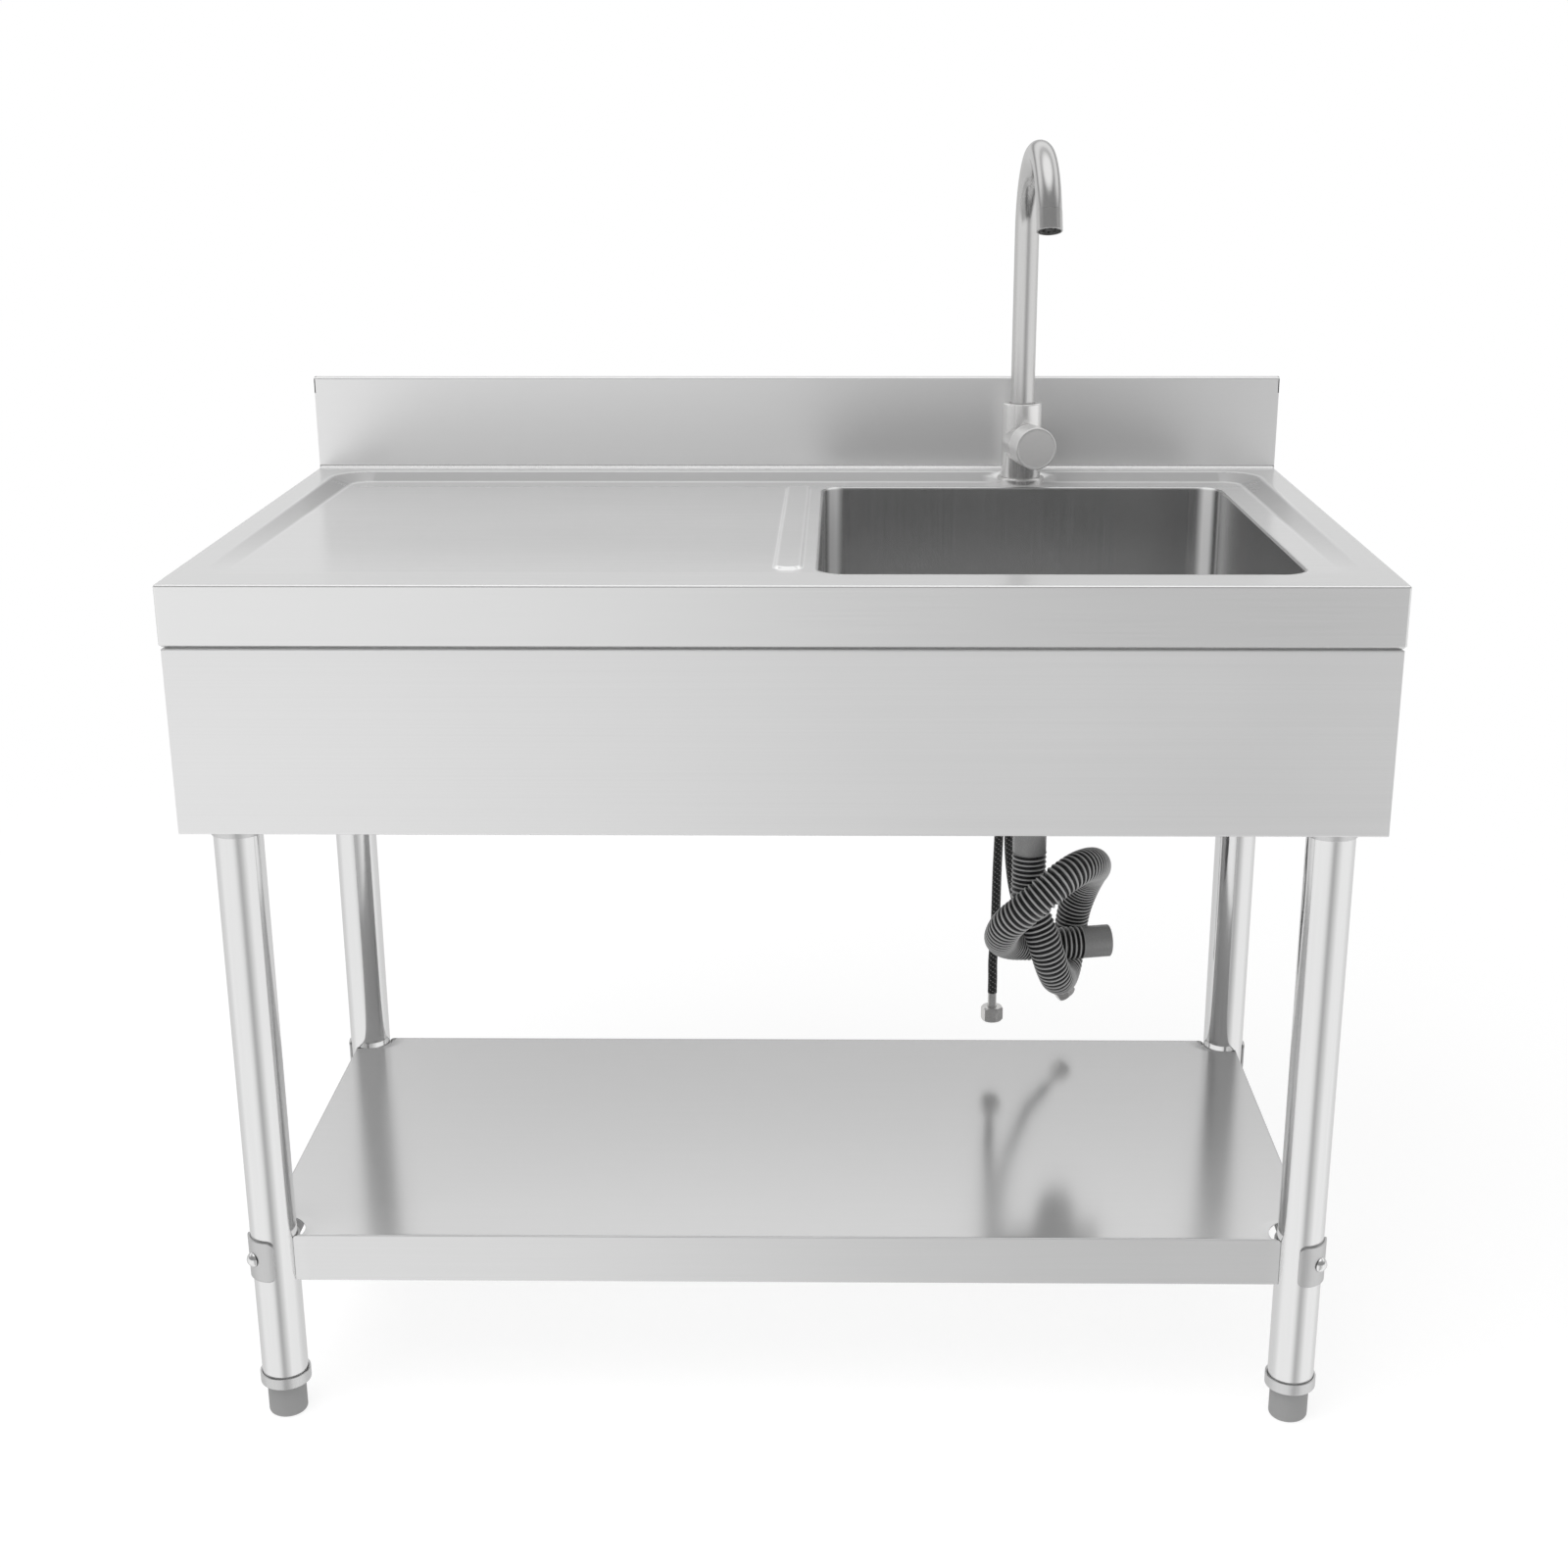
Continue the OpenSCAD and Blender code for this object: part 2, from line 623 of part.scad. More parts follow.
module socket_screws() color(GREY) {
  for (i = [0:3]) at_leg(i) translate([leg_r + fit, 0, socket_screw_z]) rotate([0, 90, 0]) difference() {
    cylinder(d = socket_screw_d, h = socket_wall + 4);
    translate([0, 0, socket_wall]) cylinder(d = socket_screw_d / 2, h = 4 + cut, $fn = 6);
  }
}

// Legs and feet

// Carries its children to a leg's axis, turned so that +x looks outward along its clamp's bolt
module at_clamp(i) {
  translate([LEGS[i][0], LEGS[i][1], 0]) rotate([0, 0, LEGS[i][2]]) children();
}

module leg(i) color(TUBE) at_clamp(i) difference() {
  translate([0, 0, leg_z]) cylinder(r = leg_r, h = leg_top - leg_z);
  translate([0, 0, leg_z - cut]) cylinder(r = leg_r - leg_wall, h = leg_top - leg_z + 2 * cut);
  translate([0, 0, bolt_z]) rotate([0, 90, 0]) cylinder(r = bolt_hole, h = 3 * leg_r, center = true);
}

module leg_plugs() color(DARK) {
  roof = 3;
  for (i = [0:3]) at_clamp(i) difference() {
    translate([0, 0, leg_z]) cylinder(r = plug_r, h = plug_top - leg_z);
    translate([0, 0, leg_z - cut]) cylinder(r = foot_hole, h = plug_top - leg_z - roof + cut);
  }
}

module leg_cups() color(BRUSHED) {
  cup_r1 = leg_r + run;
  cup_r2 = cup_r1 + cup_wall;
  bevel = 0.6;
  for (i = [0:3]) at_clamp(i) rotate_extrude() polygon([[foot_hole, cup_z], [cup_r2 - bevel, cup_z],
    [cup_r2, cup_z + bevel], [cup_r2, cup_z + cup_h], [cup_r1, cup_z + cup_h], [cup_r1, cup_z + cup_floor],
    [foot_hole, cup_z + cup_floor]]);
}

module foot(i) color(GREY) at_clamp(i) {
  r = foot_d / 2;
  rotate_extrude() polygon(concat([[0, 0]], quarter(r - foot_round, foot_round, foot_round, 270),
    [[r, foot_show + foot_inside], [0, foot_show + foot_inside]]));
}

// Shelf

module undershelf() color(STEEL) difference() {
  box(-shelf_x, shelf_x, shelf_y0, shelf_y1, shelf_z, shelf_h);
  box(-shelf_x + sheet_t, shelf_x - sheet_t, shelf_y0 + sheet_t, shelf_y1 - sheet_t,
    shelf_z + sheet_t, shelf_h - sheet_t);
  box(-shelf_x + shelf_fold, shelf_x - shelf_fold, shelf_y0 + shelf_fold, shelf_y1 - shelf_fold,
    shelf_z - cut, shelf_z + sheet_t + cut);
  for (i = [0:3]) at_clamp(i) {
    translate([0, 0, shelf_z - cut]) cylinder(r = clamp_in, h = shelf_lip + 2 * cut);
    translate([0, 0, shelf_h - 3 * sheet_t]) cylinder(r = notch_r, h = 3 * sheet_t + cut);
  }
}

module shelf_stiffener() color(STEEL) {
  y = (shelf_y0 + shelf_y1) / 2;
  x = shelf_x - sheet_t;
  channel(-x, x, y - shelf_brace_w / 2, y + shelf_brace_w / 2, shelf_h - sheet_t - shelf_brace_h,
    shelf_h - sheet_t, true);
}

// The brackets are welded inside the lips and hug the legs from within
module shelf_brackets() color(BRUSHED) intersection() {
  box(-shelf_x + sheet_t, shelf_x - sheet_t, shelf_y0 + sheet_t, shelf_y1 - sheet_t,
    shelf_z + sheet_t, shelf_h - 4 * sheet_t);
  union() {
    for (i = [0:3]) at_clamp(i) difference() {
      translate([0, 0, shelf_z]) cylinder(r = clamp_out, h = shelf_lip);
      translate([0, 0, shelf_z - cut]) cylinder(r = clamp_in, h = shelf_lip + 2 * cut);
      translate([0, 0, bolt_z]) rotate([0, 90, 0]) cylinder(r = bolt_hole, h = 3 * clamp_out, center = true);
    }
  }
}

module clamp(i) color(BRUSHED) at_clamp(i) translate([0, 0, bolt_z]) difference() {
  h = clamp_h / 2;
  w = clamp_out * sin(clamp_angle);
  intersection() {
    difference() {
      cylinder(r = clamp_out, h = clamp_h, center = true);
      cylinder(r = clamp_in, h = clamp_h + 2 * cut, center = true);
    }
    rotate([0, 90, 0]) linear_extrude(clamp_out + cut)
      polygon(outline(-h, h, -w, w, clamp_corner, clamp_corner));
  }
  rotate([0, 90, 0]) cylinder(r = bolt_hole, h = clamp_out + cut);
}

module clamp_bolts() color(BRUSHED) {
  tail = clamp_out + bolt_nut_h + 3;
  dome = (bolt_head_h * bolt_head_h + bolt_head_d * bolt_head_d / 4) / (2 * bolt_head_h);
  for (i = [0:3]) at_clamp(i) translate([0, 0, bolt_z]) rotate([0, 90, 0]) {
    translate([0, 0, -tail]) cylinder(d = bolt_d, h = tail + clamp_out + 2 * fit);
    translate([0, 0, clamp_out + fit]) intersection() {
      cylinder(d = bolt_head_d, h = bolt_head_h + fit);
      translate([0, 0, bolt_head_h - dome]) sphere(r = dome);
    }
  }
}

module clamp_nuts() color(BRUSHED) {
  for (i = [0:3]) at_clamp(i) translate([-clamp_out - fit, 0, bolt_z]) rotate([0, -90, 0]) difference() {
    cylinder(r = bolt_nut_af / 2 / cos(30), h = bolt_nut_h, $fn = 6);
    translate([0, 0, -cut]) cylinder(d = bolt_d + fit, h = bolt_nut_h + 2 * cut);
  }
}

// Tap

// Carries its children to the tap's axis at the height z
module at_tap(z) {
  translate([tap_x, tap_y, z]) children();
}

// Carries its children to the control's axis: +z runs from the tap's axis to the control's face
module at_control() {
  at_tap(knob_z) rotate([0, 0, knob_angle]) rotate([90, 0, 0]) children();
}

module tap_flange() color(BRUSHED) at_tap(pad_z) {
  r = tap_flange_d / 2;
  bevel = 1.5;
  hole = shank_r + fit;
  rotate_extrude() polygon([[hole, 0], [r, 0], [r, tap_flange_h - bevel], [r - bevel, tap_flange_h],
    [hole, tap_flange_h]]);
}

spout_r = spout_d / 2;
bush_r = spout_r + 1.3;
cartridge_r = 15;
cartridge_back = 6;
cartridge_front = knob_start + 6;
waterway_r = 8;

module tap_body() color(BRUSHED) difference() {
  union() {
    at_tap(tap_z) cylinder(d = tap_body_d, h = tap_body_h);
    at_control() cylinder(d = knob_d, h = knob_start - run);
  }
  at_tap(spout_seat) cylinder(r = bush_r, h = tap_top - spout_seat + cut);
  at_tap(knob_z) cylinder(r = waterway_r, h = spout_seat - knob_z + cut);
  at_control() translate([0, 0, -cartridge_back])
    cylinder(r = cartridge_r + run, h = cartridge_back + knob_start + cut);
}

module tap_cartridge() color(DARK) at_control() {
  translate([0, 0, -cartridge_back + fit])
    cylinder(r = cartridge_r, h = cartridge_back + cartridge_front - fit);
  cylinder(r = 4, h = knob_reach - 6);
}

module tap_control() color(BRUSHED) at_control() {
  r = knob_d / 2;
  bevel = 0.8;
  wall = 2.5;
  stem = 4 + run;
  hub_r = 7;
  hub_z = cartridge_front + 2 * run;
  rotate_extrude() polygon([[r - wall, knob_start], [r, knob_start], [r, knob_reach - bevel],
    [r - bevel, knob_reach], [0, knob_reach], [0, knob_reach - 5], [stem, knob_reach - 5], [stem, hub_z],
    [hub_r, hub_z], [hub_r, knob_reach - 5], [r - wall, knob_reach - 5]]);
}

module spout_bush() color(DARK) at_tap(tap_top - 2 - bush_h) difference() {
  cylinder(r = bush_r - fit / 2, h = bush_h);
  translate([0, 0, -cut]) cylinder(r = spout_r + run, h = bush_h + 2 * cut);
}

// Carries its children to the bow's plane: +x from the bow's centre back to the riser, +y up
module at_bow() {
  at_tap(bow_z) rotate([0, 0, spout_angle]) translate([0, -spout_bow, 0]) rotate([90, 0, 90]) children();
}

// Carries its children to the spout's mouth, with +z the way the water leaves
module at_mouth() {
  at_bow() rotate([0, 0, spout_sweep]) translate([spout_bow, 0, 0]) rotate([-90, 0, 0]) children();
}

// The rings of radius r along the spout: one at its foot, the others round the bow
function spout_rings(r) = let (side = [cos(spout_angle), sin(spout_angle), 0],
  ahead = [sin(spout_angle), -cos(spout_angle), 0], tap = [tap_x, tap_y, 0], steps = 24, sides = 36)
  concat([ring(tap + [0, 0, spout_seat + run], [0, 0, 1], side, r, sides)],
    [for (i = [0:steps]) let (a = spout_sweep * i / steps)
      ring(tap + [0, 0, bow_z] + spout_bow * ((1 - cos(a)) * ahead + sin(a) * [0, 0, 1]),
        sin(a) * ahead + cos(a) * [0, 0, 1], side, r, sides)]);

module tap_spout() color(BRUSHED) pipe(spout_rings(spout_r), spout_rings(spout_r - spout_wall));

module spout_sleeve() color(BRUSHED) at_mouth() translate([0, 0, fit]) difference() {
  cylinder(r = spout_r + 0.3, h = sleeve_l);
  translate([0, 0, -cut]) cylinder(r = spout_r - spout_wall, h = sleeve_l + 2 * cut);
}

module spout_aerator() color(DARK) at_mouth() translate([0, 0, 2]) difference() {
  cylinder(r = spout_r - spout_wall - fit, h = sleeve_l - 3.2);
  for (a = [0:60:300]) rotate([0, 0, a]) translate([6, 0, -cut]) cylinder(r = 1.6, h = sleeve_l);
}

module tap_shank() color(BRASS) at_tap(shank_z) difference() {
  cylinder(r = shank_r, h = tap_z - shank_z);
  translate([0, 0, -cut]) cylinder(r = shank_r - 2.5, h = tap_z - shank_z + 2 * cut);
}

module tap_washer() color(DARK) at_tap(washer_z) difference() {
  cylinder(r = shank_r + 5.5, h = washer_t);
  translate([0, 0, -cut]) cylinder(r = shank_r + fit, h = washer_t + 2 * cut);
}

module tap_locknut() color(BRASS) at_tap(washer_z - locknut_h) difference() {
  cylinder(r = shank_r + 6, h = locknut_h, $fn = 6);
  translate([0, 0, -cut]) cylinder(r = shank_r + fit / 2, h = locknut_h + 2 * cut);
}

// Waste

// Carries its children to the drain's axis at the height z
module at_drain(z) {
  translate([drain_x, drain_y, z]) children();
}

module strainer_body() color(BRUSHED) difference() {
  neck_r = neck_d / 2;
  union() {
    at_drain(sump_z) cylinder(d = strainer_d, h = flange_t);
    at_drain(cup_z0) cylinder(r = cup_r, h = cup_depth + flange_t);
    at_drain(neck_z) cylinder(r = neck_r, h = neck_l + flange_t);
  }
  at_drain(cup_z0 + flange_t) cylinder(r = cup_r - flange_t, h = cup_depth + cut);
  at_drain(neck_z - cut) cylinder(r = neck_r - flange_t, h = neck_l + flange_t + 2 * cut);
}

module strainer_gasket() color(DARK) at_drain(sump_z - sheet_t - gasket_t) difference() {
  cylinder(d = strainer_d - 4, h = gasket_t);
  translate([0, 0, -cut]) cylinder(r = cup_r + fit, h = gasket_t + 2 * cut);
}

module strainer_nut() color(GREY) at_drain(sump_z - sheet_t - gasket_t - ring_nut_h) difference() {
  union() {
    cylinder(d = strainer_d - 10, h = ring_nut_h);
    for (a = [0:45:315]) rotate([0, 0, a]) translate([strainer_d / 2 - 8, -4, 0]) cube([7, 8, ring_nut_h]);
  }
  translate([0, 0, -cut]) cylinder(r = cup_r + fit / 2, h = ring_nut_h + 2 * cut);
}

module strainer_basket() color(BRUSHED) at_drain(sump_z + flange_t + run) {
  r = cup_r - 5;
  deep = 28;
  wall = 1;
  difference() {
    union() {
      cylinder(r = cup_r + 3, h = wall);
      translate([0, 0, -deep]) cylinder(r = r, h = deep);
    }
    translate([0, 0, -deep + wall]) cylinder(r = r - wall, h = deep + wall);
    translate([0, 0, -deep - cut]) {
      for (a = [0:30:330]) rotate([0, 0, a]) translate([r * 0.75, 0, 0]) cylinder(r = 2.5, h = wall + 2 * cut);
      for (a = [15:60:315]) rotate([0, 0, a]) translate([r * 0.45, 0, 0]) cylinder(r = 2.5, h = wall + 2 * cut);
    }
  }
  translate([0, 0, -deep]) cylinder(r = 3, h = deep + 2);
  translate([0, 0, 2]) cylinder(r = 8, h = 4);
}

collar_h = 3;

module tail_nut() color(DARK) {
  neck_r = neck_d / 2;
  low = neck_z - collar_h - 2.5;
  wall = 6;
  grips = 10;
  difference() {
    union() {
      at_drain(low) cylinder(r = neck_r + wall, h = tail_nut_h);
      for (k = [0:grips - 1]) at_drain(low) rotate([0, 0, k * 360 / grips]) translate([neck_r + wall, 0, 0])
        cylinder(r = 1.6, h = tail_nut_h - 2);
    }
    at_drain(neck_z - collar_h - fit) cylinder(r = neck_r + fit / 2, h = tail_nut_h);
    at_drain(low - cut) cylinder(r = cuff_r + fit, h = tail_nut_h);
  }
}

module drain_top_cuff() color(GREY) at_drain(drain_z) difference() {
  h = neck_z - fit - drain_z;
  union() {
    cylinder(r = cuff_r, h = h);
    translate([0, 0, h - collar_h]) cylinder(r = neck_d / 2 - fit, h = collar_h);
  }
  translate([0, 0, -cut]) cylinder(r = cuff_bore, h = h + 2 * cut);
}

// Hoses

// The ribbed hose: two rings a rib, one on its crest and one in the groove, and a smooth bore
module drain_hose() color(DARK) {
  sides = 8;
  bore_step = 4;
  t = tables(fine_line(drain_route));
  long = t[0][len(t[0]) - 1][0];
  ribs = 2 * round(long / rib_pitch / 2);
  step = long / ribs / 2;
  stops = [for (i = [0:2 * ribs]) i * step];
  h = headings(t, stops);
  v = sideways(h, [0, 1, 0]);
  c = [for (s = stops) place(t, s)];
  r = hose_d / 2;
  far = ceil(3 * hose_d / step);
  gap = min([for (i = [0:2:2 * ribs - far]) for (j = [i + far:2:2 * ribs]) norm(c[i] - c[j])]) - hose_d;
  echo(str("Drain hose: ", round(long), " mm long, ", ribs, " ribs, least gap to itself ", gap, " mm"));
  pipe([for (i = [0:2 * ribs]) ring(c[i], h[i], v[i], i % 2 == 0 ? r : r - rib_depth, sides)],
    [for (i = [0:bore_step:2 * ribs]) ring(c[i], h[i], v[i], r - rib_depth - hose_wall, sides)]);
}

module drain_end_cuff() color(GREY) {
  m = len(drain_route) - 1;
  e = drain_route[m];
  d = e - drain_route[m - 1];
  translate(e) rotate([0, 0, atan2(d[1], d[0])]) rotate([0, 90, 0]) difference() {
    cylinder(r = cuff_r, h = cuff_l);
    translate([0, 0, -cut]) cylinder(r = cuff_bore, h = cuff_l + 2 * cut);
  }
}

// A braided supply hose along its route
module supply_hose(route) color(DARK) {
  t = tables(fine_line(route));
  long = t[0][len(t[0]) - 1][0];
  count = round(long / (2 * supply_d));
  stops = [for (i = [0:count]) long * i / count];
  h = headings(t, stops);
  v = sideways(h, [0, 1, 0]);
  echo(str("Supply hose: ", round(long), " mm long"));
  loft([for (i = [0:count]) ring(place(t, stops[i]), h[i], v[i], supply_d / 2, 8)]);
}

// Carries its children to a supply hose's end, with +z the way the hose points
module at_supply_end(route, tilt) {
  translate(route[len(route) - 1]) rotate([0, 180 - tilt, 0]) children();
}

nut_roof = 3.5;
relief_h = 2.5;

module ferrule(route, tilt) color(BRUSHED) at_supply_end(route, tilt) {
  cylinder(d = ferrule_d, h = ferrule_l + nut_roof + run);
  translate([0, 0, ferrule_l + nut_roof + run]) cylinder(r = nut_bore_d / 2 - 0.7, h = 1.5);
}

module supply_nut(route, tilt) color(BRUSHED) at_supply_end(route, tilt) translate([0, 0, ferrule_l])
  difference() {
  corner = nut_af / 2 / cos(30);
  intersection() {
    rotate([0, 0, 12]) cylinder(r = corner, h = nut_h, $fn = 6);
    rotate_extrude() polygon([[0, 0], [corner - 1.6, 0], [corner + 0.1, 1.7], [corner + 0.1, nut_h - 1.7],
      [corner - 1.6, nut_h], [0, nut_h]]);
  }
  translate([0, 0, -cut]) cylinder(d = ferrule_d + 2 * run, h = nut_h);
  translate([0, 0, nut_roof]) cylinder(d = nut_bore_d + 0.8, h = relief_h);
  translate([0, 0, nut_roof]) cylinder(d = nut_bore_d, h = nut_h);
}

worktop();
bowl();
skirt_front();
skirt_rear();
skirt_left();
skirt_right();
rail(-leg_x);  // rail_left
rail(leg_x);  // rail_right
drainboard_stiffener();
leg_socket(0);  // socket_front_left
leg_socket(1);  // socket_front_right
leg_socket(2);  // socket_rear_left
leg_socket(3);  // socket_rear_right
socket_screws();
leg(0);  // leg_front_left
leg(1);  // leg_front_right
leg(2);  // leg_rear_left
leg(3);  // leg_rear_right
leg_plugs();
leg_cups();
foot(0);  // foot_front_left
foot(1);  // foot_front_right
foot(2);  // foot_rear_left
foot(3);  // foot_rear_right
undershelf();
shelf_stiffener();
shelf_brackets();
clamp(0);  // clamp_front_left
clamp(1);  // clamp_front_right
clamp(2);  // clamp_rear_left
clamp(3);  // clamp_rear_right
clamp_bolts();
clamp_nuts();
tap_flange();
tap_body();
tap_shank();
tap_washer();
tap_locknut();
tap_cartridge();
tap_control();
spout_bush();
tap_spout();
spout_sleeve();
spout_aerator();
strainer_body();
strainer_gasket();
strainer_nut();
strainer_basket();
tail_nut();
drain_top_cuff();
drain_hose();
drain_end_cuff();
supply_hose(supply_left_route);  // supply_hose_left
supply_hose(supply_right_route);  // supply_hose_right
ferrule(supply_left_route, left_ferrule_tilt);  // supply_ferrule_left
ferrule(supply_right_route, right_ferrule_tilt);  // supply_ferrule_right
supply_nut(supply_left_route, left_ferrule_tilt);  // supply_nut_left
supply_nut(supply_right_route, right_ferrule_tilt);  // supply_nut_right
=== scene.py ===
# %% [markdown]
# # Freestanding stainless steel sink
# The real object is folded and drawn sheet steel on four polished tubes, with a tap and three
# hoses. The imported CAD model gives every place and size. This script gives it its finished
# surfaces: soft bends, a pressed drainboard, ribs, braid and brushed metal.

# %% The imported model
import json
import math
import bmesh
import bpy
import numpy as np
from mathutils import Matrix, Vector


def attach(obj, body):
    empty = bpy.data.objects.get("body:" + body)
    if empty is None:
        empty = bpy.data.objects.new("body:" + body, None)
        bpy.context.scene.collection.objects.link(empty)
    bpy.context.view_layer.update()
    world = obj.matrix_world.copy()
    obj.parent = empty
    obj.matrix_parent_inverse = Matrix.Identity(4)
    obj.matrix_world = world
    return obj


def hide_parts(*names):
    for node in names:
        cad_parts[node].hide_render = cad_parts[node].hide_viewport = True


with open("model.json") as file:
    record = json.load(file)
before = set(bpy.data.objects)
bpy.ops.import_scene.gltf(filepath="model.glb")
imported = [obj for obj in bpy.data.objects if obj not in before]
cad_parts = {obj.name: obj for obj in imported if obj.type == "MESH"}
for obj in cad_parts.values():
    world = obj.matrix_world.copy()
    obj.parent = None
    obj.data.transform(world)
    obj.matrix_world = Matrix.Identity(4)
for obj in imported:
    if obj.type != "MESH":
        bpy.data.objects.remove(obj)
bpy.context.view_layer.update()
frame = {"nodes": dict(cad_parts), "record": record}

MM = 0.001

# %% [markdown]
# ## Camera
# The photo was taken from a little above and almost straight in front. The camera's place, tilt
# and focal length were fitted to the corners of the worktop, the legs and the shelf. A small shift
# keeps the picture's centre where it is in the photo.

# %% Camera
def camera_matrix(place, yaw, pitch, roll):
    """Columns are right, up and back. Forward is the yaw's direction tipped down by the pitch."""
    forward = np.array([math.sin(yaw) * math.cos(pitch), math.cos(yaw) * math.cos(pitch), -math.sin(pitch)])
    level = np.array([math.cos(yaw), -math.sin(yaw), 0.0])
    raised = np.cross(level, forward)
    right = math.cos(roll) * level + math.sin(roll) * raised
    up = -math.sin(roll) * level + math.cos(roll) * raised
    m = np.eye(4)
    m[:3, 0], m[:3, 1], m[:3, 2], m[:3, 3] = right, up, -forward, place
    return Matrix(m.tolist())

def added(name, data):
    """A new object in the scene."""
    made = bpy.data.objects.new(name, data)
    bpy.context.scene.collection.objects.link(made)
    return made

CAMERA_AT = np.array([50.33, -2044.35, 1144.44])
YAW, PITCH, ROLL = -0.0129, 0.3253, -0.0016
camera = added("camera", bpy.data.cameras.new("camera"))
camera.matrix_world = camera_matrix(CAMERA_AT * MM, YAW, PITCH, ROLL)
camera.data.sensor_width = 36
camera.data.lens = 51.09
camera.data.shift_x = -0.0202
camera.data.shift_y = 0.0427
camera.data.clip_start = 0.05
camera.data.clip_end = 60
bpy.context.scene.camera = camera
print("camera at", [round(v, 3) for v in camera.location])

# %% [markdown]
# ## Surfaces from numbers
# Every piece below is a grid of points worked out with numpy. A grid has rows and columns, and
# each square of four neighbours is a face. Pieces are worked out in millimetres and become metres
# when they are put into a mesh.

# %% Grids
def grid(points, close_columns=False):
    """Points (rows, columns, 3) as one list, and the faces between neighbours as numbers in that list.
    A point's number is its row times the number of columns, plus its column. A face looks along the
    cross product of the step to the next row and the step to the next column."""
    rows, columns = points.shape[:2]
    row = np.arange(rows - 1)[:, None] * columns
    here = np.arange(columns if close_columns else columns - 1)[None, :]
    beside = (here + 1) % columns
    corners = (row + here, row + columns + here, row + columns + beside, row + beside)
    return points.reshape(-1, 3), np.stack(np.broadcast_arrays(*corners), -1).reshape(-1, 4)

def flipped(part):
    """The same surface seen from its other side."""
    return part[0], part[1][:, ::-1]

def joined(parts):
    """Several surfaces as one, with the face numbers counted on."""
    start = np.cumsum([0] + [len(p[0]) for p in parts[:-1]])
    return np.concatenate([p[0] for p in parts]), np.concatenate([p[1] + s for p, s in zip(parts, start)])

def rotation(axis, degrees):
    """The 3 x 3 matrix of a turn about x, y or z."""
    return np.array(Matrix.Rotation(math.radians(degrees), 3, axis))

def placed(part, at=(0, 0, 0), turn=None):
    """The surface turned by a 3 x 3 matrix and then moved."""
    points = part[0] if turn is None else part[0] @ np.asarray(turn).T
    return points + np.asarray(at, float), part[1]

print("a grid of 3 x 4 points has", len(grid(np.zeros((3, 4, 3)))[1]), "faces")

# %% [markdown]
# ## Profiles
# A bend in a sheet and a broken edge on a turned piece are both arcs between straight parts. A
# workshop drawing gives them as sharp corners with a radius each, and so does this script. The
# arcs could be left to a Bevel modifier, but worked out here each has the drawing's own radius.
# A turned piece is such a profile carried once round an axis, as on a lathe.

# %% Profiles
def rounded(corners, radii, steps=6, support=0.35, closed=False):
    """A chain of corners with each corner replaced by an arc of its radius that touches both sides.
    The arc's ends lie radius / tan(half the corner's angle) from the corner, and its centre lies
    radius / sin(half the angle) from it. A support point stands on the straight at both ends of the
    arc, so that the flat stays flat when it is shaded."""
    p = np.asarray(corners, float)
    radii = np.broadcast_to(np.asarray(radii, float), len(p))
    out = []
    for k, c in enumerate(p):
        if radii[k] <= 0 or (not closed and k in (0, len(p) - 1)):
            out.append(c[None])
            continue
        u, v = p[k - 1] - c, p[(k + 1) % len(p)] - c
        u, v = u / np.linalg.norm(u), v / np.linalg.norm(v)
        half = math.acos(np.clip(u @ v, -1, 1)) / 2
        reach = radii[k] / math.tan(half)
        centre = c + (u + v) / np.linalg.norm(u + v) * radii[k] / math.sin(half)
        a, b = c + u * reach - centre, c + v * reach - centre
        spread = math.pi - 2 * half
        t = np.linspace(0, 1, steps + 1)[:, None]
        arc = centre + (np.sin((1 - t) * spread) * a + np.sin(t * spread) * b) / math.sin(spread)
        beyond = reach + support * radii[k]
        out += [(c + u * beyond)[None], arc, (c + v * beyond)[None]]
    return np.concatenate(out)

def revolved(profile, sides, at=(0, 0, 0), turn=None):
    """A profile of (radius r, height z) carried once round the z axis: x = r cos a, y = r sin a.
    It runs up the outside, and is closed across its open side unless both ends lie on the axis."""
    p = np.asarray(profile, float)
    if p[0, 0] or p[-1, 0]:
        p = np.vstack([p, p[:1]])
    a = np.linspace(0, 2 * math.pi, sides, endpoint=False)
    points = np.stack([p[:, :1] * np.cos(a), p[:, :1] * np.sin(a), p[:, 1:] + 0 * a], -1)
    return placed(flipped(grid(points, close_columns=True)), at, turn)

square = [(0, 0), (10, 0), (10, 10), (0, 10)]
print("a square with rounded corners has", len(rounded(square, 2, closed=True)), "points")

# %% [markdown]
# ## From numbers to objects
# Blender keeps a mesh as long flat lists: places, corner numbers and the start of each face. They
# could be filled point by point, but foreach_set takes a whole array at once and is far quicker.
# Where two surfaces of a piece meet, their points are welded. A sheet is made as the side that
# shows, and a Solidify modifier puts its thickness on the back. Its thin edge would tilt the
# shading of the flat faces beside it, which a Weighted Normal modifier prevents.

# %% From numbers to objects
MATERIALS = {}
WELD = 2e-6

